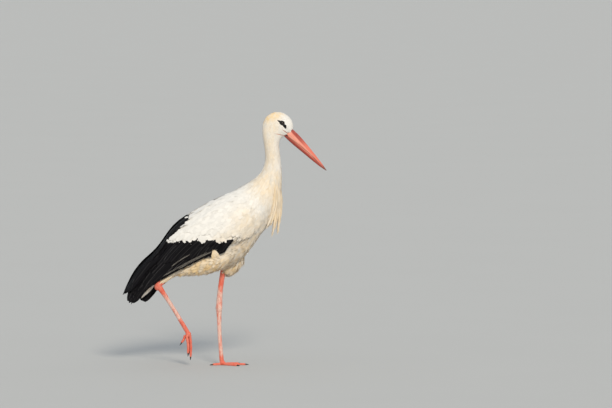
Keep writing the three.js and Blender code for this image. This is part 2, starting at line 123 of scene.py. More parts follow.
# Lines that the feathers point along, from the bill to the tail, and how far from a line it counts.
FLOW_REACH = 0.042
FLOW_FAR = 1e-4  # the weight of lines that are farther off
FLOW = (
    [(0.252, 0, 0.868), (0.249, 0, 0.890), (0.236, 0, 0.910), (0.213, 0, 0.925), (0.187, 0, 0.929)]
    + [(0.160, 0, 0.918), (0.142, 0, 0.896), (0.136, 0, 0.867), (0.139, 0, 0.831), (0.146, 0, 0.790)]
    + [(0.147, 0, 0.752), (0.139, 0, 0.720), (0.118, 0, 0.692), (0.048, 0, 0.648), (-0.042, 0, 0.600)]
    + [(-0.135, 0, 0.550), (-0.207, 0, 0.489), (-0.264, 0, 0.411), (-0.355, 0, 0.296)],
    [(0.235, 0, 0.841), (0.211, 0, 0.834), (0.200, 0, 0.810), (0.201, 0, 0.784), (0.207, 0, 0.729)]
    + [(0.208, 0, 0.651), (0.198, 0, 0.604), (0.182, 0, 0.557), (0.145, 0, 0.495), (0.080, 0, 0.420)]
    + [(0.010, 0, 0.365), (-0.080, 0, 0.337), (-0.203, 0, 0.344), (-0.300, 0, 0.300)],
) + tuple(
    line
    for side in SIDES.values()
    for line in (
        [(0.150, side * 0.05, 0.640), (0.125, side * 0.07, 0.560), (0.060, side * 0.09, 0.500)]
        + [(-0.080, side * 0.10, 0.430), (-0.230, side * 0.08, 0.350)],
        [(0.060, side * 0.09, 0.590), (-0.060, side * 0.10, 0.525), (-0.200, side * 0.09, 0.425)],
        [(0.188, side * 0.035, 0.690), (0.182, side * 0.045, 0.600), (0.168, side * 0.045, 0.550)],
    )
) + (
    [(0.060, 0.045, 0.440), (0.030, 0.050, 0.390), (-0.002, 0.026, 0.325)],
    [(0.030, -0.080, 0.430), (-0.060, -0.075, 0.395), (-0.150, -0.055, 0.360), (-0.200, -0.040, 0.335)],
)

# Places in the side view: the middle of the eye, and where the bill starts and ends.
EYE_AT = (0.211, 0.888)
BILL_GAPE = (0.224, 0.842)
BILL_TIP = (0.3715, 0.7135)

# A patch of colour on the head: its middle and half sizes in the side view, and how far its long axis
# dips towards the front, in degrees.
Mark = namedtuple("Mark", "place half dip")
BARE_MARKS = (
    Mark((0.2110, 0.8876), (0.0130, 0.0084), 28),  # bare skin round the eye
    Mark((0.2010, 0.8935), (0.0100, 0.0034), 32),  # drawn out behind it
    Mark((0.2195, 0.8775), (0.0150, 0.0060), 52),  # and in front, down to the bill
)
MOUTH_CORNER = Mark((0.2268, 0.8422), (0.0046, 0.0023), 34)
BLACK_MARKS = (*BARE_MARKS, MOUTH_CORNER)
RED_MARKS = (
    Mark((0.2215, 0.8560), (0.0125, 0.0013), 36),  # line of the gape
    Mark((0.2050, 0.8450), (0.0200, 0.0011), 12),  # edge of the throat
)
# Painted shade: a dark line along the gap between the two halves of the bill.
MOUTH_SHADE_MARKS = (
    Mark((0.2515, 0.8225), (0.0360, 0.0011), 36),
    Mark((0.2960, 0.7875), (0.0260, 0.0013), 39),
    Mark((0.3340, 0.7510), (0.0300, 0.0014), 48),
)
# Where the white feathers are stained, and where the stain colour also paints shade on the crown and under
# the belly: a soft patch with its strength.
StainAndShade = namedtuple("StainAndShade", "place half dip strength")
STAINS_AND_SHADE = (
    # Partly painted shade: darker because the crown gets less light from above.
    StainAndShade((0.172, 0.915), (0.044, 0.022), -10, 0.95),  # crown
    StainAndShade((0.170, 0.868), (0.034, 0.034), 0, 0.45),  # cheek
    StainAndShade((0.160, 0.800), (0.034, 0.085), 0, 0.50),  # neck
    StainAndShade((0.152, 0.790), (0.010, 0.075), 4, 0.35),  # back of the neck
    StainAndShade((0.165, 0.690), (0.060, 0.040), -40, 0.60),  # root of the neck
    StainAndShade((0.200, 0.610), (0.034, 0.110), 0, 0.80),  # front of the breast
    StainAndShade((0.130, 0.520), (0.060, 0.080), -48, 0.50),  # side of the breast
    # These two are partly painted shade, where the belly and flank get less light.
    StainAndShade((0.110, 0.440), (0.120, 0.060), -48, 0.75),  # belly, towards the breast
    StainAndShade((-0.060, 0.360), (0.190, 0.055), -8, 1.00),  # belly and vent
    StainAndShade((0.040, 0.490), (0.090, 0.030), -30, 0.30),  # lower coverts
)

MERGE = 1e-6  # vertices closer than this are one


def scene_settings():
    """The settings of the add-on, as the panel shows them."""
    return bpy.context.scene.stork


# ---------------------------------------------------------------- meshes


def link(name, mesh):
    """A new object of the mesh, in the scene and at the origin."""
    obj = bpy.data.objects.new(name, mesh)
    bpy.context.collection.objects.link(obj)
    return obj


def deliver(obj, slot, *replaced):
    """Hands a finished piece to the frame: it rides on the body and stands for the replaced nodes."""
    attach(obj, "root")
    if replaced:
        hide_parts(*replaced)


def coordinates(mesh):
    """The mesh's vertices and their normals as two arrays."""
    places = np.empty(len(mesh.vertices) * 3)
    normals = np.empty(len(mesh.vertices) * 3)
    mesh.vertices.foreach_get("co", places)
    mesh.vertices.foreach_get("normal", normals)
    return places.reshape(-1, 3), normals.reshape(-1, 3)


def place_vertices(mesh, places):
    """Puts the mesh's vertices in new places."""
    mesh.vertices.foreach_set("co", places.astype(np.float32).ravel())
    mesh.update()


def merged_copy(nodes):
    """One bmesh of copies of CAD nodes, with each node's doubles merged."""
    bm = bmesh.new()
    for node in nodes:
        bm.from_mesh(NODES[node].data)
    bmesh.ops.remove_doubles(bm, verts=bm.verts, dist=MERGE)
    return bm


def moved_to_neighbours(mesh, factors):
    """Moves each vertex towards the mean of its neighbours by each factor in turn."""
    places, _ = coordinates(mesh)
    edges = np.empty(len(mesh.edges) * 2, dtype=np.int64)
    mesh.edges.foreach_get("vertices", edges)
    a, b = edges.reshape(-1, 2).T
    count = np.bincount(np.concatenate((a, b)), minlength=len(places))[:, None]
    for factor in factors:
        total = np.empty_like(places)
        for axis in range(3):
            total[:, axis] = np.bincount(a, places[b, axis], len(places))
            total[:, axis] += np.bincount(b, places[a, axis], len(places))
        places = places + factor * (total / np.maximum(count, 1) - places)
    place_vertices(mesh, places)


SHRINK_AND_SWELL = (0.5, -0.53)  # how far vertices go towards their neighbours' mean, in turn


def evened(mesh, rounds):
    """Smooths the mesh by turns of shrinking and swelling, which keep its size."""
    moved_to_neighbours(mesh, SHRINK_AND_SWELL * rounds)


# The front edge of the folded wings in the side view, where their feathers run into the breast's.
WING_FRONT = (
    (0.034, 0.456), (0.060, 0.460), (0.092, 0.474), (0.122, 0.498), (0.141, 0.530), (0.147, 0.570)
)
FRONT_REACH = 0.016  # how far from that edge the step runs out
FRONT_SIDE = 0.030  # how far from the middle line that begins
FRONT_FADE = 0.015  # and over how much more it grows to its full strength
FRONT_ROUNDS = 60


def ease_wing_front(mesh):
    """Lets the step at the front edge of the folded wings run out into the breast."""
    places, _ = coordinates(mesh)
    gap = np.full(len(places), 1.0)
    stops = np.array(WING_FRONT)
    for start, step in zip(stops[:-1], np.diff(stops, axis=0)):
        share = np.clip((places[:, ::2] - start) @ step / (step @ step), 0, 1)
        gap = np.minimum(gap, np.linalg.norm(places[:, ::2] - start - share[:, None] * step, axis=1))
    side = np.clip((np.abs(places[:, 1]) - FRONT_SIDE) / FRONT_FADE, 0, 1)
    weight = np.clip(2 - gap / FRONT_REACH, 0, 1) * side
    moved_to_neighbours(mesh, [0.5 * weight[:, None]] * FRONT_ROUNDS)


def refined(name, nodes, voxel, rounds):
    """A fine, even mesh round CAD nodes, which closes the thin cuts between them."""
    bm = merged_copy(nodes)
    rough = bpy.data.meshes.new(name + "_rough")
    bm.to_mesh(rough)
    bm.free()
    obj = link(name + "_rough", rough)
    remesh = obj.modifiers.new("fine", "REMESH")
    remesh.mode = "VOXEL"
    remesh.voxel_size = voxel
    remesh.use_smooth_shade = True
    depsgraph = bpy.context.evaluated_depsgraph_get()
    mesh = bpy.data.meshes.new_from_object(obj.evaluated_get(depsgraph))
    bpy.data.objects.remove(obj)
    bpy.data.meshes.remove(rough)
    mesh.name = name
    evened(mesh, rounds)
    return mesh


def joined_mesh(name, meshes):
    """One mesh of several, each with the next material slot."""
    bm = bmesh.new()
    for slot, mesh in enumerate(meshes):
        before = len(bm.faces)
        bm.from_mesh(mesh)
        bm.faces.ensure_lookup_table()
        for face in bm.faces[before:]:
            face.material_index = slot
            face.smooth = True
    mesh = bpy.data.meshes.new(name)
    bm.to_mesh(mesh)
    bm.free()
    return mesh


BODY_ROUNDS = 14  # of smoothing


@functools.cache
def outer_form():
    """The bird's outline over its feathers, as an even mesh of the flesh nodes."""
    mesh = refined("outline", BODY_NODES, scene_settings().skin_voxel, BODY_ROUNDS)
    ease_wing_front(mesh)
    return mesh


@functools.cache
def outer_tree():
    """A search tree of that outline."""
    places, _ = coordinates(outer_form())
    return BVHTree.FromPolygons(places.tolist(), [list(p.vertices) for p in outer_form().polygons])


OUTWARD = 0.15  # the least cosine between a face's normal and the way out from the middle line


@functools.cache
def outward_tree(nodes):
    """A search tree of those faces of CAD nodes that look away from the bird's middle line."""
    vertices, faces = [], []
    for node in nodes:
        mesh = NODES[node].data
        start = len(vertices)
        vertices += [v.co[:] for v in mesh.vertices]
        for polygon in mesh.polygons:
            centre = polygon.center
            out = centre - Vector(middle_line(centre.x, centre.z))
            if polygon.normal.dot(out) > OUTWARD * out.length:
                faces.append([start + v for v in polygon.vertices])
    return BVHTree.FromPolygons(vertices, faces)


# The middle of trunk and wings, from the shoulders to the tail.
AXIS = np.array([(0.130, 0.620), (0.040, 0.560), (-0.080, 0.470), (-0.200, 0.390), (-0.340, 0.290)])


def middle_line(x, z):
    """The point of the trunk's axis that is nearest to a place in the side view."""
    place = np.array((x, z))
    starts, steps = AXIS[:-1], np.diff(AXIS, axis=0)
    share = np.einsum("ij,ij->i", place - starts, steps) / np.einsum("ij,ij->i", steps, steps)
    on_axis = starts + np.clip(share, 0, 1)[:, None] * steps
    x, z = on_axis[np.argmin(np.linalg.norm(on_axis - place, axis=1))]
    return x, 0.0, z


@functools.cache
def node_tree(nodes):
    """A search tree of copies of CAD nodes."""
    bm = merged_copy(nodes)
    tree = BVHTree.FromBMesh(bm)
    bm.free()
    return tree


def gaps_to(nodes, places):
    """How far each place is from the nearest surface of the nodes."""
    tree = node_tree(nodes)
    return np.array([tree.find_nearest(Vector(p))[3] for p in places])


def nearest(tree, places):
    """The nearest places on a surface and the normals there."""
    found = [tree.find_nearest(Vector(p)) for p in places]
    return np.array([f[0][:] for f in found]), np.array([f[1][:] for f in found])


def eye_centre(side):
    """The middle of an eye."""
    low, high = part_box(f"eye_{side}")
    return (Vector(low) + Vector(high)) / 2


# ---------------------------------------------------------------- feathers

SPOT_CORE = 1e-3  # how near to a spot its own values stop growing in weight


def coat_values(points):
    """Length, width, depth, spacing and looseness of the coat at each point."""
    spots = np.array([spot.place for spot in COAT])
    values = np.array([(s.length, s.width, s.depth, s.apart, s.loose) for s in COAT])
    distance = np.linalg.norm(points[:, None, ::2] - spots, axis=2)
    weight = 1 / (distance + SPOT_CORE) ** 3
    return (weight @ values / weight.sum(axis=1, keepdims=True)).T


def lie(points, normals):
    """The way that feathers point at each place of the skin, as unit vectors along the surface."""
    total = np.zeros_like(points)
    for line in FLOW:
        stops = np.array(line, dtype=float)
        for start, step in zip(stops[:-1], np.diff(stops, axis=0)):
            share = np.clip((points - start) @ step / (step @ step), 0, 1)
            distance = np.linalg.norm(points - start - share[:, None] * step, axis=1)
            weight = np.exp(-((distance / FLOW_REACH) ** 2))
            weight = weight + FLOW_FAR / (1 + distance / FLOW_REACH) ** 4
            total += weight[:, None] * step / np.linalg.norm(step)
    total -= np.einsum("ij,ij->i", total, normals)[:, None] * normals
    return unit(total)


def unit(vectors):
    """The vectors at length one."""
    return vectors / np.maximum(np.linalg.norm(vectors, axis=-1, keepdims=True), 1e-9)


def on_mark(points, marks):
    """Whether each point lies on one of the marks."""
    inside = np.zeros(len(points), dtype=bool)
    for mark in marks:
        dip = math.radians(mark.dip)
        x, z = points[:, 0] - mark.place[0], points[:, 2] - mark.place[1]
        along = x * math.cos(dip) - z * math.sin(dip)
        across = x * math.sin(dip) + z * math.cos(dip)
        inside |= (along / mark.half[0]) ** 2 + (across / mark.half[1]) ** 2 < 1
    return inside


# How wide a feather is along its length, as pairs of a place from root to tip and a share of its width.
BLADE = ((0, 0.5), (0.35, 1), (0.72, 0.72), (1, 0.1))
VANE = ((0, 0.45), (0.3, 0.85), (0.6, 1), (0.82, 0.86), (0.94, 0.52), (1, 0.18))
QUILL = (
    ((0, 0.5), (0.1, 0.75), (0.22, 0.92)) + tuple((0.22 + 0.06 * i, 1) for i in range(1, 11))
    + ((0.87, 0.95), (0.91, 0.85), (0.945, 0.7), (0.97, 0.52), (0.988, 0.33), (1, 0.14))
)


def feather_faces(columns, rows, under):
    """Faces of one closed feather of columns by rows: its upper side, its under side and its two ends.

    The under side has vertices of its own between its edges where under is true, and is flat across
    where it's not."""
    top = np.arange(columns * rows).reshape(rows, columns)
    if under:
        inner = columns * rows + np.arange((columns - 2) * rows).reshape(rows, columns - 2)
        bottom = np.concatenate((top[:, :1], inner, top[:, -1:]), axis=1)
    else:
        bottom = top[:, [0, -1]]
    quads = []
    for grid, turned in ((top, False), (bottom, True)):
        faces = np.stack((grid[:-1, :-1], grid[1:, :-1], grid[1:, 1:], grid[:-1, 1:]), axis=-1)
        faces = faces.reshape(-1, 4)
        quads.append(faces[:, ::-1] if turned else faces)
    ends = [list(top[0]) + list(bottom[0, -2:0:-1]), list(top[-1, ::-1]) + list(bottom[-1, 1:-1])]
    return quads[0].tolist() + quads[1].tolist() + ends, len(quads[0])


PATCH = 0.003  # a tuft's width on the unwrapped skin


def feather_mesh(name, grids, columns, rows, under, data):
    """One mesh of closed feathers. grids holds each feather's vertices, feather by feather.

    data holds for each feather its root and its tint, and for the coat also the root's place on the
    unwrapped skin and the body's normals at the root and at the tip."""
    faces, on_top = feather_faces(columns, rows, under)
    count, size = grids.shape[:2]
    loops = np.concatenate([np.array(face) for face in faces])
    lengths = np.array([len(face) for face in faces])
    starts = np.concatenate(([0], np.cumsum(lengths)[:-1]))
    mesh = bpy.data.meshes.new(name)
    mesh.vertices.add(count * size)
    mesh.vertices.foreach_set("co", grids.astype(np.float32).ravel())
    every = np.arange(count)[:, None]
    corner_vertex = (every * size + loops).ravel()
    mesh.loops.add(len(corner_vertex))
    mesh.loops.foreach_set("vertex_index", corner_vertex.astype(np.int32))
    mesh.polygons.add(count * len(faces))
    mesh.polygons.foreach_set("loop_start", (every * len(loops) + starts).ravel().astype(np.int32))
    mesh.update(calc_edges=True)
    flat = np.tile(np.arange(len(faces)) >= on_top, count)
    mesh.attributes.new("sharp_face", "BOOLEAN", "FACE").data.foreach_set("value", flat)

    u = np.linspace(-1, 1, columns)
    v = np.linspace(0, 1, rows)
    across = [np.tile(u, rows)] + ([np.tile(u[1:-1], rows)] if under else [])
    along = [np.repeat(v, columns)] + ([np.repeat(v, columns - 2)] if under else [])
    template = np.stack((np.concatenate(across), np.concatenate(along)), axis=-1)
    vane = mesh.uv_layers.new(name="Vane")
    vane.uv.foreach_set("vector", np.tile(template[loops], (count, 1)).astype(np.float32).ravel())
    if "unwrap" in data:
        patch = (template * (0.5, 1) - (0, 0.5)) * PATCH
        bake = mesh.uv_layers.new(name="OFBake")
        spread = data["unwrap"][:, None] + patch[loops]
        bake.uv.foreach_set("vector", spread.astype(np.float32).ravel())
    root = mesh.attributes.new("root", "FLOAT_VECTOR", "POINT")
    root.data.foreach_set("vector", np.repeat(data["root"], size, axis=0).astype(np.float32).ravel())
    tint = mesh.attributes.new("tint", "FLOAT", "POINT")
    tint.data.foreach_set("value", np.repeat(data["tint"], size).astype(np.float32))
    if "normal" in data:
        soften(mesh, template[:, 1], data, loops, lengths, on_top)
    return mesh


SOFTNESS = 0.8  # how much of the body's own shading shows through the coat


def soften(mesh, along, data, loops, lengths, on_top):
    """Turns the shading of the feathers' upper sides towards that of the body under them."""
    share = along[None, :, None]
    body = unit((1 - share) * data["normal"][:, None] + share * data["tip_normal"][:, None])
    own = coordinates(mesh)[1].reshape(body.shape)
    turned = unit(SOFTNESS * body + (1 - SOFTNESS) * own)[:, loops]
    turned[:, lengths[:on_top].sum():] = 0  # keeps the under side's own shading
    mesh.normals_split_custom_set(turned.reshape(-1, 3).tolist())


def curved_feathers(root, middle, tip, normal, tip_normal, width, shape, columns, camber, thick):
    """Vertices of feathers that bend from root through middle to tip over the body."""
    places = np.array([row[0] for row in shape])[None, :, None, None]
    shares = np.array([row[1] for row in shape])[None, :, None, None]
    u = np.linspace(-1, 1, columns)[None, None, :, None]
    root, middle, tip = (a[:, None, None, :] for a in (root, middle, tip))
    bend = 2 * middle - (root + tip) / 2
    line = (1 - places) ** 2 * root + 2 * places * (1 - places) * bend + places**2 * tip
    heading = unit(2 * (1 - places) * (bend - root) + 2 * places * (tip - bend))
    up = unit((1 - places) * normal[:, None, None, :] + places * tip_normal[:, None, None, :])
    across = unit(np.cross(up, heading))
    half = width[:, None, None, None] * shares / 2
    grid = line + across * u * half + up * (thick * (1 - u**2) - camber * half * u**2)
    return grid.reshape(len(width), -1, 3)


# ---------------------------------------------------------------- materials


def add_node(tree, kind, inputs=None, **settings):
    """A new shader node with its settings and inputs, which are sockets or plain values."""
    node = tree.nodes.new(kind)
    for key, value in settings.items():
        setattr(node, key, value)
    for key, value in (inputs or {}).items():
        if isinstance(value, bpy.types.NodeSocket):
            tree.links.new(value, node.inputs[key])
        else:
            node.inputs[key].default_value = value
    return node


def rgba(colour):
    """The colour with a full alpha."""
    return (*colour, 1.0)


def between(tree, factor, low, high, blend="MIX"):
    """A colour mix. low and high are colours or sockets."""
    inputs = {0: factor, 6: low, 7: high}
    return add_node(tree, "ShaderNodeMix", inputs, data_type="RGBA", blend_type=blend).outputs[2]


def calculate(tree, operation, *values):
    """The result of a sum on sockets or plain values."""
    return add_node(tree, "ShaderNodeMath", dict(enumerate(values)), operation=operation).outputs[0]


def ramped(tree, value, low, high, to_low=0.0, to_high=1.0):
    """The value carried softly from one range to another."""
    inputs = {"Value": value, "From Min": low, "From Max": high, "To Min": to_low, "To Max": to_high}
    node = add_node(tree, "ShaderNodeMapRange", inputs, interpolation_type="SMOOTHSTEP")
    return node.outputs["Result"]


def noise(tree, position, scale, detail=3.0, roughness=0.55):
    """A cloudy pattern."""
    inputs = {"Vector": position, "Scale": scale, "Detail": detail, "Roughness": roughness}
    return add_node(tree, "ShaderNodeTexNoise", inputs).outputs["Fac"]


def stretched(tree, position, scale):
    """The position with its axes scaled."""
    return add_node(tree, "ShaderNodeMapping", {"Vector": position, "Scale": scale}).outputs["Vector"]


ENDLESS = 1000  # a size that lets a mask reach through the whole bird


def oval(tree, position, mark, soft):
    """A mask that is 1 on a mark of the side view and fades out over the share soft of its size."""
    place, half = mark.place, mark.half
    inputs = {
        "Vector": position,
        "Location": (place[0], 0, place[1]),
        "Rotation": (0, math.radians(mark.dip), 0),
        "Scale": (half[0], ENDLESS, half[1]),
    }
    turned = add_node(tree, "ShaderNodeMapping", inputs, vector_type="TEXTURE").outputs["Vector"]
    length = add_node(tree, "ShaderNodeVectorMath", {0: turned}, operation="LENGTH").outputs["Value"]
    return ramped(tree, length, 1 + soft, 1 - soft)


def new_group(name, inputs, outputs):
    """An empty node group with its sockets, and its input and output nodes."""
    tree = bpy.data.node_groups.new(name, "ShaderNodeTree")
    for side, sockets in (("INPUT", inputs), ("OUTPUT", outputs)):
        for label, kind in sockets:
            tree.interface.new_socket(name=label, in_out=side, socket_type="NodeSocket" + kind)
    return tree, tree.nodes.new("NodeGroupInput"), tree.nodes.new("NodeGroupOutput")


def use_group(tree, group, inputs):
    """A node group placed in a material."""
    return add_node(tree, "ShaderNodeGroup", inputs, node_tree=group)


def most(tree, masks):
    """The strongest of several masks."""
    result = masks[0]
    for mask in masks[1:]:
        result = calculate(tree, "MAXIMUM", result, mask)
    return result


@functools.cache
def plumage_group():
    """The markings that skin and coat share: white with stains and painted shade, and the dark and red
    marks of the head.
    """
    inputs = [("Position", "Vector"), ("Line Position", "Vector")]
    inputs += [("White", "Color"), ("StainAndShade", "Color"), ("Dark", "Color"), ("Red", "Color")]
    tree, given, result = new_group("plumage markings", inputs, [("Color", "Color"), ("Dark", "Float")])
    position = given.outputs["Position"]
    streaky = stretched(tree, position, (90, 90, 22))
    mottle = ramped(tree, noise(tree, streaky, 1.0, 4.0), 0.3, 0.7, 0.35, 1.0)
    # Stain patches, which also paint the shade on the crown and under the belly.
    stains_and_shade = [calculate(tree, "MULTIPLY", oval(tree, position, s, 0.7), s.strength) for s in STAINS_AND_SHADE]
    stain_and_shade = calculate(tree, "MULTIPLY", most(tree, stains_and_shade), mottle)
    colour = between(tree, stain_and_shade, given.outputs["White"], given.outputs["StainAndShade"])
    line = given.outputs["Line Position"]
    red = most(tree, [oval(tree, line, mark, 0.5) for mark in RED_MARKS])
    colour = between(tree, red, colour, given.outputs["Red"])
    dark = most(tree, [oval(tree, position, mark, 0.05) for mark in BLACK_MARKS])
    colour = between(tree, dark, colour, given.outputs["Dark"])
    tree.links.new(colour, result.inputs["Color"])
    tree.links.new(dark, result.inputs["Dark"])
    return tree


@functools.cache
def barb_group():
    """Height and shade of a feather's shaft and barbs, from its own map across and along."""
    inputs = [("Vane", "Vector"), ("Barbs", "Float")]
    tree, given, result = new_group("shaft and barbs", inputs, [("Height", "Float"), ("Shaft", "Float")])
    parts = add_node(tree, "ShaderNodeSeparateXYZ", {0: given.outputs["Vane"]})
    from_shaft = calculate(tree, "ABSOLUTE", parts.outputs["X"])
    slant = calculate(tree, "MULTIPLY_ADD", from_shaft, -0.16, parts.outputs["Y"])
    wave = calculate(tree, "SINE", calculate(tree, "MULTIPLY", slant, given.outputs["Barbs"]))
    shaft = ramped(tree, from_shaft, 0.09, 0.03)
    height = calculate(tree, "MULTIPLY_ADD", shaft, 3.0, wave)
    tree.links.new(height, result.inputs["Height"])
    tree.links.new(shaft, result.inputs["Shaft"])
    return tree


def new_material(name):
    """A new material, its node tree and its Principled shader."""
    material = bpy.data.materials.new(name)
    material.use_nodes = True
    tree = material.node_tree
    return material, tree, tree.nodes["Principled BSDF"]


def bump(tree, shader, height, strength, distance):
    """Gives the shader a bump of that height."""
    inputs = {"Height": height, "Strength": strength, "Distance": distance}
    node = add_node(tree, "ShaderNodeBump", inputs)
    tree.links.new(node.outputs["Normal"], shader.inputs["Normal"])


def object_position(tree):
    """The place on the object, in its own coordinates."""
    return tree.nodes.new("ShaderNodeTexCoord").outputs["Object"]


def plumage_colours():
    """The colours that the markings of skin and coat take."""
    s = scene_settings()
    return {"White": rgba(s.white), "StainAndShade": rgba(s.stain_and_shade), "Dark": rgba(s.bare_black), "Red": rgba(s.gape)}


@functools.cache
def coat_material():
    """White body feathers."""
    material, tree, shader = new_material("white coat")
    root = add_node(tree, "ShaderNodeAttribute", attribute_name="root").outputs["Vector"]
    tint = add_node(tree, "ShaderNodeAttribute", attribute_name="tint").outputs["Fac"]
    places = {"Position": root, "Line Position": object_position(tree)}
    marks = use_group(tree, plumage_group(), {**places, **plumage_colours()})
    shade = ramped(tree, tint, 0, 1, 0.90, 1.0)
    grey = add_node(tree, "ShaderNodeCombineColor", {0: shade, 1: shade, 2: shade}).outputs[0]
    colour = between(tree, 1.0, marks.outputs["Color"], grey, "MULTIPLY")
    vane = add_node(tree, "ShaderNodeUVMap", uv_map="Vane").outputs["UV"]
    barbs = use_group(tree, barb_group(), {"Vane": vane, "Barbs": 70.0})
    tree.links.new(colour, shader.inputs["Base Color"])
    shader.inputs["Roughness"].default_value = 0.72
    shader.inputs["Sheen Weight"].default_value = 0.25
    shader.inputs["Sheen Roughness"].default_value = 0.5
    bump(tree, shader, barbs.outputs["Height"], 0.25, 0.00012)
    return material


@functools.cache
def feathered_skin_material():
    """The skin under the coat, with the same markings."""
    material, tree, shader = new_material("feathered skin")
    position = object_position(tree)
    places = {"Position": position, "Line Position": position}
    marks = use_group(tree, plumage_group(), {**places, **plumage_colours()})
    tree.links.new(marks.outputs["Color"], shader.inputs["Base Color"])
    rough = ramped(tree, marks.outputs["Dark"], 0, 1, 0.8, 0.45)
    tree.links.new(rough, shader.inputs["Roughness"])
    shader.inputs["Specular IOR Level"].default_value = 0.18
    bump(tree, shader, noise(tree, position, 900.0), 0.4, 0.0004)
    return material


@functools.cache
def flight_material():
    """Black flight feathers with a faint gloss, partly a painted sheen of lighter patches, and a silvery
    outer web.
    """
    s = scene_settings()
    material, tree, shader = new_material("black flight feather")
    vane = add_node(tree, "ShaderNodeUVMap", uv_map="Vane").outputs["UV"]
    tint = add_node(tree, "ShaderNodeAttribute", attribute_name="tint").outputs["Fac"]
    parts = add_node(tree, "ShaderNodeSeparateXYZ", {0: vane})
    barbs = use_group(tree, barb_group(), {"Vane": vane, "Barbs": 420.0})
    is_pale = ramped(tree, tint, 0.93, 0.98)
    wide = calculate(tree, "MULTIPLY", is_pale, ramped(tree, parts.outputs["X"], 0.35, -0.1))
    outer = calculate(tree, "MAXIMUM", ramped(tree, parts.outputs["X"], -0.45, -0.9), wide)
    streak = stretched(tree, vane, (7.0, 1.1, 1.0))
    patchy = ramped(tree, noise(tree, streak, 2.0, 4.0), 0.42, 0.72)
    silvery = ramped(tree, tint, 0.35, 0.85)
    silver = calculate(tree, "MULTIPLY", calculate(tree, "MULTIPLY", outer, patchy), silvery)
    # Painted sheen: the glossy patches are lighter in colour.
    gloss = between(tree, patchy, rgba(s.black), rgba(s.black_gloss))
    web = between(tree, is_pale, rgba(s.silver), rgba(s.pale_web))
    colour = between(tree, calculate(tree, "MULTIPLY", silver, s.silver_share), gloss, web)
    shaft = calculate(tree, "MULTIPLY", barbs.outputs["Shaft"], 0.15)
    colour = between(tree, shaft, colour, rgba(s.silver))
    tree.links.new(colour, shader.inputs["Base Color"])
    tree.links.new(ramped(tree, patchy, 0, 1, 0.36, 0.52), shader.inputs["Roughness"])
    shader.inputs["Specular IOR Level"].default_value = 0.07
    bump(tree, shader, barbs.outputs["Height"], 0.35, 0.0002)
    return material


BILL_ACROSS = 0.01  # one step across the bill in its pattern


@functools.cache
def bill_material():
    """Coral horn, darker at the base of the ridge and brown at the tip, with painted shade along the lower
    edge and in the line of the mouth, and a painted highlight along the upper side.
    """
    s = scene_settings()
    material, tree, shader = new_material("bill")
    position = object_position(tree)
    slope = math.atan2(BILL_GAPE[1] - BILL_TIP[1], BILL_TIP[0] - BILL_GAPE[0])
    length = math.hypot(BILL_GAPE[1] - BILL_TIP[1], BILL_TIP[0] - BILL_GAPE[0])
    inputs = {
        "Vector": position,
        "Location": (BILL_GAPE[0], 0, BILL_GAPE[1]),
        "Rotation": (0, slope, 0),
        "Scale": (length, BILL_ACROSS, BILL_ACROSS),
    }
    along = add_node(tree, "ShaderNodeMapping", inputs, vector_type="TEXTURE").outputs["Vector"]
    parts = add_node(tree, "ShaderNodeSeparateXYZ", {0: along})
    grain = noise(tree, stretched(tree, along, (3.0, 2.5, 2.5)), 2.2, 5.0, 0.6)
    # Painted shade: the bill darkens towards its lower edge.
    top = ramped(tree, parts.outputs["Z"], -0.7, 1.1)
    colour = between(tree, top, rgba(s.bill_dark), rgba(s.bill))
    ridge = calculate(tree, "MULTIPLY_ADD", parts.outputs["X"], 2.2, parts.outputs["Z"])
    # Painted highlight: a pale band along the upper side, broken up by the grain.
    upper = ramped(tree, parts.outputs["Z"], 0.1, 0.6)
    band = calculate(tree, "MULTIPLY", upper, ramped(tree, ridge, 2.5, 1.9))
    pale = calculate(tree, "MULTIPLY", ramped(tree, grain, 0.32, 0.60, 0.25, 1.0), band)
    colour = between(tree, calculate(tree, "MULTIPLY", pale, 0.72), colour, rgba(s.bill_highlight))
    rear = ramped(tree, parts.outputs["X"], 0.46, 0.20)
    base = calculate(tree, "MULTIPLY", rear, ramped(tree, ridge, 2.0, 2.6))
    colour = between(tree, calculate(tree, "MULTIPLY", base, 0.9), colour, rgba(s.bill_dark))
    # Painted shade in the gap between the two halves of the bill.
    mouth = most(tree, [oval(tree, position, mark, 0.5) for mark in MOUTH_SHADE_MARKS])
    colour = between(tree, calculate(tree, "MULTIPLY", mouth, 0.75), colour, rgba(s.bill_tip))
    tip = ramped(tree, calculate(tree, "MULTIPLY_ADD", grain, 0.12, parts.outputs["X"]), 0.88, 1.06)
    colour = between(tree, tip, colour, rgba(s.bill_tip))
    corner = oval(tree, position, MOUTH_CORNER, 0.4)
    colour = between(tree, corner, colour, rgba(s.bare_black))
    tree.links.new(colour, shader.inputs["Base Color"])
    tree.links.new(ramped(tree, grain, 0.3, 0.7, 0.34, 0.5), shader.inputs["Roughness"])
    bump(tree, shader, grain, 0.25, 0.0006)
    return material


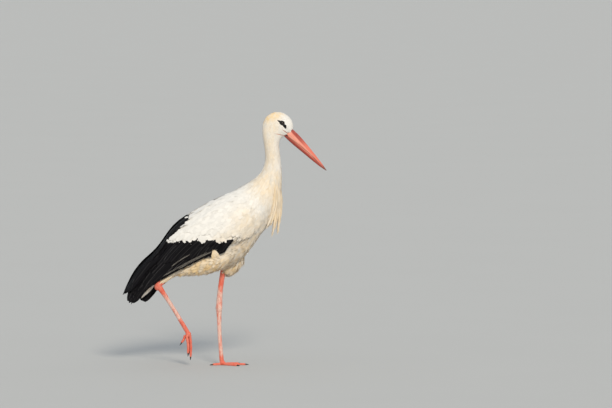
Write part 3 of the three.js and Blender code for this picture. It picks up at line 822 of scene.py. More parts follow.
@functools.cache
def leg_material():
    """Red bare legs under a patchy whitish wash, scaled all over."""
    s = scene_settings()
    material, tree, shader = new_material("leg skin")
    position = object_position(tree)
    wash = noise(tree, stretched(tree, position, (130, 130, 42)), 1.0, 4.0, 0.65)
    parts = add_node(tree, "ShaderNodeSeparateXYZ", {0: position})
    height = parts.outputs["Z"]
    left = ramped(tree, parts.outputs["Y"], -0.01, 0.0)
    standing = calculate(
        tree, "MULTIPLY", ramped(tree, height, 0.012, 0.045), ramped(tree, height, 0.350, 0.240)
    )
    swinging = calculate(
        tree, "MULTIPLY", ramped(tree, height, 0.115, 0.205), ramped(tree, height, 0.290, 0.245)
    )
    cover = add_node(tree, "ShaderNodeMix", {0: left, 2: swinging, 3: standing}).outputs[0]
    washed = ramped(tree, calculate(tree, "MULTIPLY_ADD", cover, 0.55, wash), 0.78, 1.12)
    colour = between(tree, ramped(tree, wash, 0.35, 0.65), rgba(s.leg), rgba(s.leg_light))
    colour = between(tree, calculate(tree, "MULTIPLY", washed, 0.85), colour, rgba(s.wash))
    inputs = {"Vector": stretched(tree, position, (1, 1, 0.8)), "Scale": 380.0}
    cells = add_node(tree, "ShaderNodeTexVoronoi", inputs, feature="DISTANCE_TO_EDGE")
    plates = ramped(tree, cells.outputs["Distance"], 0.02, 0.16)
    colour = between(tree, ramped(tree, plates, 1.0, 0.0, 0.0, 0.45), colour, rgba(s.leg_dark))
    tree.links.new(colour, shader.inputs["Base Color"])
    tree.links.new(ramped(tree, plates, 0, 1, 0.7, 0.5), shader.inputs["Roughness"])
    bump(tree, shader, plates, 0.6, 0.0006)
    return material


@functools.cache
def claw_material():
    """Near-black horn, worn lighter in places."""
    s = scene_settings()
    material, tree, shader = new_material("claw horn")
    grain = noise(tree, stretched(tree, object_position(tree), (200, 200, 60)), 1.0)
    tree.links.new(between(tree, grain, rgba(s.claw), rgba(s.claw_worn)), shader.inputs["Base Color"])
    tree.links.new(ramped(tree, grain, 0.3, 0.7, 0.3, 0.5), shader.inputs["Roughness"])
    return material


@functools.cache
def eye_material():
    """A dark iris round a black pupil, under a wet cornea."""
    s = scene_settings()
    material, tree, shader = new_material("eye")
    position = object_position(tree)
    inputs = {0: position, 1: (EYE_AT[0], 0, EYE_AT[1])}
    offset = add_node(tree, "ShaderNodeVectorMath", inputs, operation="SUBTRACT").outputs["Vector"]
    flat = stretched(tree, offset, (1, 0, 1))
    distance = add_node(tree, "ShaderNodeVectorMath", {0: flat}, operation="LENGTH").outputs["Value"]
    iris = ramped(tree, distance, 0.0026, 0.0030)
    fleck = noise(tree, position, 1500.0)
    ring = between(tree, fleck, rgba(s.iris), rgba(s.iris_light))
    colour = between(tree, iris, rgba(s.pupil), ring)
    rim = ramped(tree, distance, 0.0048, 0.0054)
    tree.links.new(between(tree, rim, colour, rgba(s.pupil)), shader.inputs["Base Color"])
    tree.links.new(ramped(tree, fleck, 0, 1, 0.06, 0.12), shader.inputs["Roughness"])
    shader.inputs["Specular IOR Level"].default_value = 0.2
    shader.inputs["Coat Weight"].default_value = 0.6
    shader.inputs["Coat Roughness"].default_value = 0.02
    return material


# ---------------------------------------------------------------- skin

THIN_SHARE = 0.35  # how much of a thin wing's thickness the coat may take
THICK_REACH = 0.05  # how far in the other side is looked for
THICK_START = 0.0003  # and from how far under the surface
BARE_DEPTH = 0.0003  # how deep the bare skin round the eye lies
EYE_REACH = 0.016  # how far from the eye's middle lids and socket reach
Ring = namedtuple("Ring", "radius width height")
LIDS = Ring(0.0078, 0.0013, 0.0009)
SOCKET = Ring(0.0068, 0.0012, 0.0016)  # its height goes inwards
LEG_ROUNDS = 4  # of smoothing


def thickness(tree, places, normals):
    """How far it is through the body from each place, straight in."""
    gaps = []
    for place, normal in zip(places, normals):
        inward = -Vector(normal)
        gap = tree.ray_cast(Vector(place) + inward * THICK_START, inward, THICK_REACH)[3]
        gaps.append(THICK_REACH if gap is None else gap)
    return np.array(gaps)


def make_skin():
    """One skin over all flesh: inside the coat's depth where feathers grow, and bare on the legs."""
    s = scene_settings()
    body = outer_form().copy()
    places, normals = coordinates(body)
    depth = coat_values(places)[2] * s.coat_depth
    depth = np.minimum(depth, THIN_SHARE * thickness(outer_tree(), places, normals))
    depth[on_mark(places, BARE_MARKS[:1])] = BARE_DEPTH
    for side in SIDES:
        apart = np.linalg.norm(places - np.array(eye_centre(side)), axis=1)
        near = apart < EYE_REACH
        lids = LIDS.height * np.exp(-(((apart - LIDS.radius) / LIDS.width) ** 2))
        socket = SOCKET.height * np.clip((SOCKET.radius - apart) / SOCKET.width, 0, 1)
        depth[near] += (socket - lids)[near]
    place_vertices(body, places - normals * depth[:, None])
    legs = refined("legs", LEG_NODES, s.leg_voxel, LEG_ROUNDS)
    mesh = joined_mesh("skin", (body, legs))
    bpy.data.meshes.remove(body)
    bpy.data.meshes.remove(legs)
    skin = link("skin", mesh)
    skin.data.materials.append(feathered_skin_material())
    skin.data.materials.append(leg_material())
    unwrap(skin)
    deliver(skin, "white_plumage", *BODY_NODES, *LEG_NODES)


def unwrap(obj):
    """Unwraps the skin by its own shape, for the places of the tufts."""
    obj.data.uv_layers.new(name="OFBake")
    bpy.context.view_layer.objects.active = obj
    obj.select_set(True)
    bpy.ops.object.mode_set(mode="EDIT")
    bpy.ops.mesh.select_all(action="SELECT")
    bpy.ops.uv.smart_project(angle_limit=math.radians(70), island_margin=0.002)
    bpy.ops.object.mode_set(mode="OBJECT")
    obj.select_set(False)


# ---------------------------------------------------------------- coat

Roots = namedtuple("Roots", "places normals unwrap")


@functools.cache
def skin_triangles():
    """Corners, normals and unwrapped corners of the feathered skin's triangles."""
    mesh = bpy.data.objects["skin"].data
    mesh.calc_loop_triangles()
    count = len(mesh.loop_triangles)
    corners = np.empty(count * 3, dtype=np.int32)
    loops = np.empty(count * 3, dtype=np.int32)
    slots = np.empty(count, dtype=np.int32)
    mesh.loop_triangles.foreach_get("vertices", corners)
    mesh.loop_triangles.foreach_get("loops", loops)
    mesh.loop_triangles.foreach_get("material_index", slots)
    uv = np.empty(len(mesh.loops) * 2, dtype=np.float32)
    mesh.uv_layers["OFBake"].uv.foreach_get("vector", uv)
    places, normals = coordinates(mesh)
    feathered = slots == 0
    corners = corners.reshape(-1, 3)[feathered]
    loops = loops.reshape(-1, 3)[feathered]
    return places[corners], normals[corners], uv.reshape(-1, 2)[loops]


def nearest_unwrap(places):
    """The nearest place on the unwrapped skin for each place."""
    corners, _, uv = skin_triangles()
    faces = np.arange(len(corners) * 3).reshape(-1, 3).tolist()
    tree = BVHTree.FromPolygons(corners.reshape(-1, 3).tolist(), faces)
    return uv[[tree.find_nearest(Vector(p))[2] for p in places]].mean(axis=1)


CROWD = 4.0  # tries for each root that is kept


def scattered(seed):
    """Root places all over the feathered skin, evenly apart as the coat's table says."""
    rng = np.random.default_rng(seed)
    corners, normals, uv = skin_triangles()
    area = np.linalg.norm(np.cross(corners[:, 1] - corners[:, 0], corners[:, 2] - corners[:, 0]), axis=1)
    apart = coat_values(corners.mean(axis=1))[3]
    weight = area / apart**2
    count = int(weight.sum() * CROWD)
    chosen = rng.choice(len(area), size=count, p=weight / weight.sum())
    a, b = rng.random((2, count))
    fold = a + b > 1
    a[fold], b[fold] = 1 - a[fold], 1 - b[fold]
    share = np.stack((1 - a - b, a, b), axis=-1)[:, :, None]
    places = (corners[chosen] * share).sum(axis=1)
    kept = spread_out(places, coat_values(places)[3])
    turned = unit((normals[chosen] * share).sum(axis=1))
    unwrapped = (uv[chosen] * share).sum(axis=1)
    return Roots(places[kept], turned[kept], unwrapped[kept])


def spread_out(places, apart):
    """Indices of places that keep their distance from all those before them."""
    cell = float(apart.max())
    boxes = {}
    kept = []
    around = [(x, y, z) for x in (-1, 0, 1) for y in (-1, 0, 1) for z in (-1, 0, 1)]
    keys = np.floor(places / cell).astype(int).tolist()
    rows = places.tolist()
    for index, (key, place, distance) in enumerate(zip(keys, rows, apart.tolist())):
        limit = distance * distance
        x, y, z = place
        free = True
        for dx, dy, dz in around:
            for px, py, pz in boxes.get((key[0] + dx, key[1] + dy, key[2] + dz), ()):
                if (px - x) ** 2 + (py - y) ** 2 + (pz - z) ** 2 < limit:
                    free = False
                    break
            if not free:
                break
        if free:
            boxes.setdefault(tuple(key), []).append(place)
            kept.append(index)
    return np.array(kept)


def covered(tree, places, normals, reach):
    """Whether each place has a surface right in front of it within the reach."""
    return np.array(
        [tree.ray_cast(Vector(p), Vector(n), reach)[0] is not None for p, n in zip(places, normals)]
    )


FLIGHT_COVER = 0.022  # how far out from the skin flight feathers may lie over it
CREVICE = (0.006, 0.012)  # how far in front of the skin a crevice is looked for, and over what reach
EYE_CLEAR = 0.0092  # no feathers grow closer to the eye's middle
BILL_CLEAR = 0.0012  # or closer to the bill

FLIGHT_CLEAR = 0.0012  # how near to the black feathers' surface a place counts as on it
BAND = (0.440, 0.4635)  # between these heights the black covers the coverts' lower edge
BAND_FRONT = 0.026  # and behind this place
BAND_SIDE = 0.04  # and farther out than this
FOLD = (-0.211, 0.455)  # the rear corner of the white coverts
TOP_FRONT = -0.130  # where the black of the back begins


def on_black(places):
    """Whether the outermost surface by each place belongs to the black feathers, or lies in the band that
    they cover above the coverts' lower edge."""
    surface, _ = nearest(outward_tree(OUTER_NODES), places)
    x, y, z = surface.T
    band = (x < BAND_FRONT) & (np.abs(y) > BAND_SIDE) & (z > BAND[0]) & (z < BAND[1])
    return band | (gaps_to(FLIGHT_NODES, surface) < FLIGHT_CLEAR)


def under_coverts(places):
    """How far inside the white coverts each place lies in the side view."""
    x, z = places[..., 0], places[..., 2]
    behind = ((x - FOLD[0]) - (z - FOLD[1])) * math.sqrt(0.5)
    return np.minimum(z - BAND[1], np.maximum(behind, x - TOP_FRONT))


@functools.cache
def coat_roots():
    """The roots of each coat piece."""
    roots = scattered(scene_settings().seed)
    places, normals, _ = roots
    bare = on_mark(places, BARE_MARKS)
    for side in SIDES:
        bare |= np.linalg.norm(places - np.array(eye_centre(side)), axis=1) < EYE_CLEAR
    bare |= gaps_to(BILL_NODES, places) < BILL_CLEAR
    keep = ~bare
    keep[keep] = ~covered(node_tree(FLIGHT_NODES), places[keep], normals[keep], FLIGHT_COVER)
    ahead = places + normals * CREVICE[0]
    keep[keep] = ~covered(outer_tree(), ahead[keep], normals[keep], CREVICE[1])
    keep[keep] = ~on_black(places[keep])
    roots = Roots(*(part[keep] for part in roots))
    gaps = np.stack([gaps_to(nodes, roots.places) for nodes in COAT_PIECES.values()])
    owner = np.argmin(gaps, axis=0)
    return {
        name: Roots(*(part[owner == index] for part in roots))
        for index, name in enumerate(COAT_PIECES)
    }


# White tufts that hang over the top of the right shin, nearly down to the heel: their roots along the shin,
# how many there are, and how long and wide they are.
CUFF_LINE = ((-0.176, -0.040, 0.351), (-0.216, -0.040, 0.320))
CUFF_COUNT = 260
CUFF_RADIUS = 0.0130
CUFF_TAPER = 0.25  # how much narrower the cuff's end is, as a share
CUFF_TUFT = (0.024, 0.0056)
CUFF_BOW = 0.0012  # how far the middles of the tufts bow out
CUFF_CLOSE = 0.002  # how far their tips close in
CUFF_ASTRAY = 0.0016  # and how far they stray
TUFT_SPREAD = (0.7, 1.2)  # the shares of its usual size that a loose tuft may have
TUFT_CAMBER = 0.10
TUFT_THICK = 0.0002


def make_cuff():
    """The loose white feathers over the top of the right shin."""
    s = scene_settings()
    rng = np.random.default_rng([s.seed, 21])
    start, end = np.array(CUFF_LINE)
    ahead = (end - start) / np.linalg.norm(end - start)
    aside = np.array((0.0, 1.0, 0.0))
    up = np.cross(ahead, aside)
    share = np.sqrt(rng.uniform(0, 1, CUFF_COUNT))
    turn = rng.uniform(-math.pi, math.pi, CUFF_COUNT)
    outward = aside * np.cos(turn)[:, None] + up * np.sin(turn)[:, None]
    axis = start + share[:, None] * (end - start)
    roots = axis + outward * (CUFF_RADIUS * (1 - CUFF_TAPER * share))[:, None]
    length = CUFF_TUFT[0] * rng.uniform(*TUFT_SPREAD, CUFF_COUNT)
    astray = rng.normal(0, CUFF_ASTRAY, (CUFF_COUNT, 3))
    tips = roots + ahead * length[:, None] - outward * CUFF_CLOSE + astray
    middles = (roots + tips) / 2 + outward * CUFF_BOW
    widths = CUFF_TUFT[1] * rng.uniform(*TUFT_SPREAD, CUFF_COUNT)
    loose_tufts("coat_cuff_right", rng, (roots, middles, tips), outward, widths, BLADE)


def loose_tufts(name, rng, lines, outward, widths, shape, *replaced):
    """A piece of the coat made of single narrow feathers. lines are their roots, middles and tips."""
    grids = curved_feathers(*lines, outward, outward, widths, shape, 3, TUFT_CAMBER, TUFT_THICK)
    data = {
        "root": lines[0],
        "unwrap": nearest_unwrap(lines[0]),
        "tint": rng.random(len(widths)),
        "normal": outward,
        "tip_normal": outward,
    }
    piece = link(name, feather_mesh(name, grids, 3, len(shape), False, data))
    piece.data.materials.append(coat_material())
    deliver(piece, "white_plumage", *replaced)


# White flank feathers that stand up over the front of the black, as a small pointed patch.
FLAP_ROOTS = ((-0.046, 0.395), (-0.016, 0.406))
FLAP_TIP = (-0.036, 0.432)
FLAP_POINT = 0.010  # how wide its point is
FLAP_RAGGED = 0.012  # how much lower a tip may end
FLAP_ASTRAY = 0.0015
FLAP_COUNT = 36
FLAP_LIFTS = (0.0010, 0.0036, 0.0036)  # how far roots, middles and tips lie above the wing
FLAP_WIDTHS = (0.0050, 0.0070)


def make_flap(side_name):
    """The white patch that flank feathers lay over the front end of a wing's black."""
    s = scene_settings()
    side = SIDES[side_name]
    rng = np.random.default_rng([s.seed, 22, side + 1])
    tree = outward_tree(OUTER_NODES)
    share = rng.uniform(0, 1, (FLAP_COUNT, 1))
    low = np.array(FLAP_ROOTS[0]) + share * (np.array(FLAP_ROOTS[1]) - FLAP_ROOTS[0])
    low += rng.normal(0, FLAP_ASTRAY, low.shape)
    lower = rng.uniform(-FLAP_RAGGED, 0, (FLAP_COUNT, 1)) * (0, 1)
    high = np.array(FLAP_TIP) + (share - 0.5) * (FLAP_POINT, 0.0) + lower
    rows = []
    for place, lift in zip((low, (low + high) / 2, high), FLAP_LIFTS):
        found = [surface_under(tree, (x, side * 0.1, z), side, False) for x, z in place]
        outward = np.array([normal[:] for _, normal in found])
        surface = np.array([hit[:] for hit, _ in found])
        if place is not low:
            surface[:, 1] = side * np.abs(surface[:, 1]).max()
        rows.append(surface + outward * lift)
    widths = rng.uniform(*FLAP_WIDTHS, FLAP_COUNT)
    loose_tufts(f"coat_flap_{side_name}", rng, rows, outward, widths, BLADE)


LENGTH_SPREAD = (0.82, 1.15)  # the shares of the table's length that feathers have
WIDTH_SPREAD = (0.85, 1.15)
LIFT_SPREAD = (-0.4, 1.6)  # how much their tips stand out, as shares of the coat's looseness
ASTRAY = 0.09  # how far their headings stray
MIDDLE_DROP = 0.16  # how deep a feather's middle lies, as a share of the coat's depth
ROOT_DROP = 0.0004  # how deep its root lies in the skin
TIP_DROP = 0.0003  # how deep a tip lies that doesn't stand out
STRAIGHT = 0.35  # a feather that would bend more than this, as a cosine, is left out
THIGH_LOOSE = 0.003  # how much more the tips stand out on the thighs
FREE_LOOSE = 0.004  # at this looseness the tips may leave the body
FREE_SHARE = 0.7  # by up to this share of the way
OVER_BLACK = 0.0028  # how far white tips lie above the black feathers
OVER_MIDDLE = 0.7  # and their middles, as a share of that
VANE_COLUMNS = 5
VANE_CAMBER = 0.05
VANE_THICK = 0.00010


def make_coat(name):
    """One piece of the coat."""
    s = scene_settings()
    rng = np.random.default_rng([s.seed, sorted(COAT_PIECES).index(name)])
    roots = coat_roots()[name]
    places, normals = roots.places, roots.normals
    length, width, depth, _, loose = coat_values(places)
    if name in THIGH_PIECES:
        loose = loose + THIGH_LOOSE
    count = len(places)
    length = length * rng.uniform(*LENGTH_SPREAD, count) * s.coat_length
    width = width * rng.uniform(*WIDTH_SPREAD, count)
    heading = lie(places, normals)
    aside = np.cross(normals, heading)
    heading = unit(heading + aside * rng.normal(0, ASTRAY, count)[:, None])
    lift = loose * rng.uniform(*LIFT_SPREAD, count)
    length, past = short_of_black(places, heading, length, rng)
    lift[past] += OVER_BLACK
    tree = outward_tree(OUTER_NODES) if name in WING_PIECES else outer_tree()
    straight = places + heading * length[:, None]
    tip, tip_normal = nearest(tree, straight)
    if name in PLUMED_PIECES:
        tip = over_plumes(tip, tip_normal)
    free = np.clip(loose / FREE_LOOSE, 0, 1) * rng.uniform(0, FREE_SHARE, count)
    tip = tip + (straight - tip) * free[:, None]
    middle, middle_normal = nearest(tree, places + heading * length[:, None] * 0.5)
    tip = tip + tip_normal * (lift - TIP_DROP)[:, None]
    raised = np.where(past, OVER_BLACK * OVER_MIDDLE, -depth * MIDDLE_DROP)
    middle = middle + middle_normal * raised[:, None]
    root = places - normals * ROOT_DROP
    data = {
        "root": places,
        "unwrap": roots.unwrap,
        "tint": rng.random(count),
        "normal": normals,
        "tip_normal": tip_normal,
    }
    bent = np.einsum("ij,ij->i", normals, tip_normal) < STRAIGHT
    split = (width < s.blade_share * length) & ~bent
    meshes = []
    if split.any():
        blades = blade_grids(split, root, middle, tip, normals, tip_normal, width, rng)
        part = {key: np.repeat(value[split], 3, axis=0) for key, value in data.items()}
        meshes.append(feather_mesh(name, blades, 3, len(BLADE), False, part))
    whole = ~split & ~bent
    if whole.any():
        args = (a[whole] for a in (root, middle, tip, normals, tip_normal, width))
        grids = curved_feathers(*args, VANE, VANE_COLUMNS, VANE_CAMBER, VANE_THICK)
        part = {key: value[whole] for key, value in data.items()}
        meshes.append(feather_mesh(name, grids, VANE_COLUMNS, len(VANE), False, part))
    piece = link(name, joined_feathers(name, meshes))
    piece.data.materials.append(coat_material())
    deliver(piece, "white_plumage")


# The three blades of a split tuft: their width, how far the outer ones' tips stand from the middle one's,
# and how far tips stray, as shares of the tuft's width.
BLADE_WIDTH = 0.72
BLADE_STEP = 0.42
BLADE_ASTRAY = 0.12
BLADE_MIDDLE = 0.8  # how far a blade's middle stands out, as a share of its tip's step
BLADE_SHORTER = 0.16  # how much shorter an outer blade may be, as a share of its length
BLADE_EVEN = 0.4  # and how much of that applies to the middle one
BLADE_CAMBER = 0.06
BLADE_THICK = 0.00006


def blade_grids(chosen, root, middle, tip, normals, tip_normal, width, rng):
    """Three narrow blades for each chosen tuft, which fan out a little and differ in length."""
    grids = []
    for blade in (-1, 0, 1):
        args = [a[chosen] for a in (root, middle, tip)]
        across = unit(np.cross(normals[chosen], args[2] - args[0]))
        step = width[chosen, None] * BLADE_STEP * blade
        jitter = rng.normal(0, BLADE_ASTRAY, (chosen.sum(), 1)) * width[chosen, None]
        reach = 1 - rng.uniform(0, BLADE_SHORTER, (chosen.sum(), 1)) * (1 if blade else BLADE_EVEN)
        args[1] = args[1] + across * step * BLADE_MIDDLE
        args[2] = args[0] + (args[2] - args[0]) * reach + across * (step + jitter)
        args += [normals[chosen], tip_normal[chosen], width[chosen] * BLADE_WIDTH]
        grids.append(curved_feathers(*args, BLADE, 3, BLADE_CAMBER, BLADE_THICK))
    return np.stack(grids, axis=1).reshape(-1, *grids[0].shape[1:])


PLUME_COVER = 0.025  # how far out from the breast the plumes may lie


def over_plumes(tips, normals):
    """Lifts the tips that the breast's plumes would cover on to the plumes."""
    tree = node_tree(("breast_plumes",))
    tips = tips.copy()
    for index, (tip, normal) in enumerate(zip(tips, normals)):
        outside = Vector(tip) + Vector(normal) * PLUME_COVER
        hit = tree.ray_cast(outside, -Vector(normal), PLUME_COVER)[0]
        if hit is not None:
            tips[index] = hit
    return tips


PAST_EDGE = 0.0060  # how far white tips may reach over the black
SHORTER = 0.82  # what is left of a feather's length after each try
SHORTER_TRIES = 5


def short_of_black(places, heading, length, rng):
    """Shortens the feathers that would lie far over the black ones, and tells which reach them."""
    past = rng.uniform(0, PAST_EDGE, len(places))
    length = length.copy()
    for _ in range(SHORTER_TRIES):
        beyond = on_black(places + heading * np.maximum(length - past, 0)[:, None])
        length[beyond] *= SHORTER
    return length, on_black(places + heading * length[:, None])


def joined_feathers(name, meshes):
    """Joins feather meshes into one, with their maps and attributes."""
    if len(meshes) == 1:
        return meshes[0]
    objects = [link(name, mesh) for mesh in meshes]
    with bpy.context.temp_override(
        active_object=objects[0], object=objects[0], selected_editable_objects=objects,
        selected_objects=objects,
    ):
        bpy.ops.object.join()
    mesh = objects[0].data
    bpy.data.objects.remove(objects[0])
    return mesh


# ---------------------------------------------------------------- flight feathers

# One row of long feathers: how many there are, and the root, tip and width of the first, some between and
# the last. Roots and tips are places on the right wing, whose y is how far out they lie. Then how far the
# row lies above the surface, how much each feather tilts and bows, how many of the first have a pale web,
# and how deep the roots are sunk.
Row = namedtuple("Row", "node count keys lift tilt bow pale buried")
Key = namedtuple("Key", "root tip width")
ROWS = {
    "coverts_black": Row(
        "secondaries", 14,
        (
            Key((0.036, 0.096, 0.478), (-0.010, 0.096, 0.417), 0.018),
            Key((0.008, 0.098, 0.482), (-0.058, 0.097, 0.402), 0.023),
            Key((-0.060, 0.100, 0.484), (-0.165, 0.090, 0.388), 0.028),
            Key((-0.175, 0.090, 0.478), (-0.270, 0.066, 0.365), 0.032),
        ),
        0.0006, 0.0006, 0.004, 0, 0.0006,
    ),
    "secondaries": Row(
        "secondaries", 17,
        (
            Key((0.020, 0.096, 0.458), (-0.076, 0.094, 0.403), 0.015),
            Key((-0.020, 0.098, 0.452), (-0.128, 0.090, 0.375), 0.018),
            Key((-0.040, 0.099, 0.454), (-0.198, 0.080, 0.341), 0.022),
            Key((-0.075, 0.099, 0.462), (-0.262, 0.068, 0.305), 0.024),
            Key((-0.120, 0.098, 0.470), (-0.306, 0.060, 0.266), 0.024),
            Key((-0.135, 0.097, 0.468), (-0.330, 0.056, 0.253), 0.030),
            Key((-0.165, 0.092, 0.474), (-0.343, 0.052, 0.272), 0.036),
        ),
        -0.0004, 0.0006, 0.006, 3, 0.0006,
    ),
    "outermost": Row(
        "secondaries", 3,
        (
            Key((-0.026, 0.098, 0.432), (-0.168, 0.084, 0.358), 0.008),
            Key((-0.062, 0.098, 0.420), (-0.224, 0.076, 0.330), 0.009),
            Key((-0.125, 0.094, 0.412), (-0.192, 0.084, 0.366), 0.008),
        ),
        0.0024, 0.0004, 0.002, 3, 0.0006,
    ),
    "tertials": Row(
        "tertials", 11,
        (
            Key((-0.170, 0.092, 0.498), (-0.338, 0.048, 0.294), 0.034),
            Key((-0.150, 0.080, 0.522), (-0.349, 0.040, 0.278), 0.036),
            Key((-0.130, 0.062, 0.545), (-0.358, 0.032, 0.268), 0.038),
            Key((-0.118, 0.038, 0.560), (-0.366, 0.022, 0.262), 0.038),
            Key((-0.112, 0.008, 0.566), (-0.374, 0.006, 0.257), 0.036),
        ),
        0.0006, 0.0007, 0.004, 0, 0.0006,
    ),
    "primaries": Row(
        "primaries", 7,
        (
            Key((-0.212, 0.070, 0.392), (-0.321, 0.054, 0.244), 0.018),
            Key((-0.218, 0.068, 0.405), (-0.334, 0.052, 0.229), 0.024),
            Key((-0.228, 0.066, 0.425), (-0.344, 0.050, 0.223), 0.028),
            Key((-0.240, 0.062, 0.435), (-0.355, 0.046, 0.239), 0.030),
        ),
        -0.0004, 0.0006, 0.003, 0, 0.0030,
    ),
}
# The left wing hangs a little lower, so its secondaries end elsewhere.
LEFT_TIPS = {
    "secondaries": (
        (-0.076, 0.094, 0.403), (-0.128, 0.090, 0.375), (-0.190, 0.080, 0.345), (-0.238, 0.070, 0.312),
        (-0.282, 0.062, 0.240), (-0.296, 0.058, 0.226), (-0.310, 0.055, 0.231),
    ),
}


def row_values(row, tips):
    """Roots, tips and widths of all feathers of a row, even between its keys."""
    at = np.linspace(0, len(row.keys) - 1, row.count)
    known = np.arange(len(row.keys))

    def even(values):
        table = np.array(values, dtype=float)
        return np.stack([np.interp(at, known, column) for column in table.T], axis=-1)

    roots = even([key.root for key in row.keys])
    ends = even(tips or [key.tip for key in row.keys])
    widths = even([(key.width,) for key in row.keys])[:, 0]
    return roots, ends, widths


ABOVE = 0.9  # the height from which the wing's surface is looked for
ASIDE = 0.3  # and how far out
FACING_UP = 0.25  # the least cosine of a surface that is found from above
FACING_OUT = 0.35  # and from the side


def surface_under(tree, point, side, on_top):
    """The wing's surface by a point: straight down on the back, and elsewhere also straight in from the
    side, whichever is nearer."""
    point = Vector(point)
    found = []
    rays = [(Vector((point.x, point.y, ABOVE)), Vector((0, 0, -1)), FACING_UP)]
    if not on_top:
        rays.append((Vector((point.x, side * ASIDE, point.z)), Vector((0, -side, 0)), FACING_OUT))
    for start, way, facing in rays:
        hit, normal, _, _ = tree.ray_cast(start, way)
        if hit is not None and abs(normal.dot(way)) > facing:
            found.append(((hit - point).length, hit, normal))
    if found:
        _, hit, normal = min(found, key=lambda entry: entry[0])
        return hit, normal
    place, normal, _, _ = tree.find_nearest(point)
    return Vector((point.x, place.y, point.z)), normal


def smoothed(values, rounds, axis):
    """Evens values out along an axis of a grid, with its ends kept."""
    values = np.moveaxis(values, axis, 0).copy()
    for _ in range(rounds):
        values[1:-1] = (values[:-2] + 2 * values[1:-1] + values[2:]) / 4
    return np.moveaxis(values, 0, axis)


BACK_HALF = 0.06  # feathers that start closer to the middle lie on the back
ROOT_DIP = 0.0052  # how deep the long feathers lie where the coverts cover them
DIP_REACH = 0.006  # over how much of their way they sink so deep
BURIED_SHARE = 0.4  # of the feather's length, over which its root comes out from under the rows above
QUILL_DROP = (-0.004, 0.001)  # how far a feather may sink or rise to lie on the wing
QUILL_CAMBER = 0.0005
QUILL_THICK = 0.0002
QUILL_COLUMNS = 7


def quill(tree, side, root, tip, width, lift, tilt, bow=0.0, buried=0.0):
    """The vertices of one long feather laid on the wing's surface."""
    rows = np.array([row[0] for row in QUILL])
    shares = np.array([row[1] for row in QUILL])
    root = np.array((root[0], side * root[1], root[2]))
    tip = np.array((tip[0], side * tip[1], tip[2]))
    ahead = (tip - root) / np.linalg.norm(tip - root)
    droop = np.array((ahead[2], 0, -ahead[0]))  # towards the wing's upper edge
    line = root + rows[:, None] * (tip - root) + droop * (4 * bow * rows * (1 - rows))[:, None]
    found = [surface_under(tree, p, side, abs(root[1]) < BACK_HALF) for p in line]
    spine = np.array([f[0][:] for f in found])
    normal = unit(smoothed(np.array([f[1][:] for f in found]), 6, 0))
    spine = smoothed(spine, 3, 0)
    heading = unit(np.gradient(spine, axis=0))
    across = unit(np.cross(heading, normal)) * side
    u = np.linspace(-1, 1, QUILL_COLUMNS)
    grid = spine[:, None] + across[:, None] * (u[None, :] * shares[:, None] * width / 2)[:, :, None]
    laid = np.array([[tree.find_nearest(Vector(p))[0][:] for p in row] for row in grid])
    drop = np.einsum("ijk,ik->ij", laid - grid, normal)
    drop = smoothed(smoothed(np.clip(drop, *QUILL_DROP), 5, 0), 2, 1)
    height = drop + lift - tilt * u[None, :]
    height -= ROOT_DIP * np.clip(under_coverts(grid) / DIP_REACH, 0, 1)
    height -= buried * np.clip(1 - rows / BURIED_SHARE, 0, 1)[:, None]
    top = grid + normal[:, None] * (height + QUILL_CAMBER * (1 - u**2)[None, :])[:, :, None]
    under = grid + normal[:, None] * (height - QUILL_THICK)[:, :, None]
    if side > 0:
        top, under = top[:, ::-1], under[:, ::-1]
    return np.concatenate((top.reshape(-1, 3), under[:, 1:-1].reshape(-1, 3)))


def quill_piece(name, grids, tints, material, slot, node):
    """A piece of long feathers, which stands for one node."""
    grids = np.stack(grids)
    data = {"root": grids[:, 0], "tint": tints}
    piece = link(name, feather_mesh(name, grids, QUILL_COLUMNS, len(QUILL), True, data))
    piece.data.materials.append(material)
    deliver(piece, slot, node)


TIP_SHARE = 0.02  # by how much of its length a flight feather may fall short of its tip
FLIGHT_UNEVEN = 0.0001  # how much it may lie higher or lower than its row
FLIGHT_SPREAD = (0.94, 1.06)  # the shares of its usual width that it may have
DARK_TINTS = (0, 0.9)
PALE_TINT = 1.0  # which marks a feather with a pale web


def make_flight(side_name, node):
    """The long feathers of one node of a folded wing."""
    s = scene_settings()
    side = SIDES[side_name]
    rng = np.random.default_rng([s.seed, side + 1, sorted(ROWS).index(node)])
    rows = ("coverts", "tertials", "secondaries") + (("primaries",) if node == "primaries" else ())
    tree = outward_tree(tuple(f"wing_{side_name}_{part}" for part in rows))
    grids, tints = [], []
    for name, row in ROWS.items():
        if row.node != node:
            continue
        tips = LEFT_TIPS.get(name) if side_name == "left" else None
        for index, (root, tip, width) in enumerate(zip(*row_values(row, tips))):
            tip = tip + (root - tip) * rng.uniform(0, TIP_SHARE)
            lift = row.lift + rng.uniform(-FLIGHT_UNEVEN, FLIGHT_UNEVEN)
            width = width * rng.uniform(*FLIGHT_SPREAD)
            grids.append(quill(tree, side, root, tip, width, lift, row.tilt, row.bow, row.buried))
            tints.append(PALE_TINT if index < row.pale else rng.uniform(*DARK_TINTS))
    quill_piece(
        f"feathers_{side_name}_{node}", grids, np.array(tints), flight_material(),
        "flight_feathers", f"wing_{side_name}_{node}",
    )


TAIL_COUNT = 10
TAIL_ROOT = (-0.215, 0.385)  # where the tail feathers start, in the side view
TAIL_WIDTH = 0.026
TAIL_EDGE = ((-0.235, 0.030, 0.312), (-0.304, 0.030, 0.247))  # the outermost tail feather's root and tip
TAIL_EDGE_WIDTH = 0.008
TAIL_LIFT = 0.0004
TAIL_TILT = 0.0004


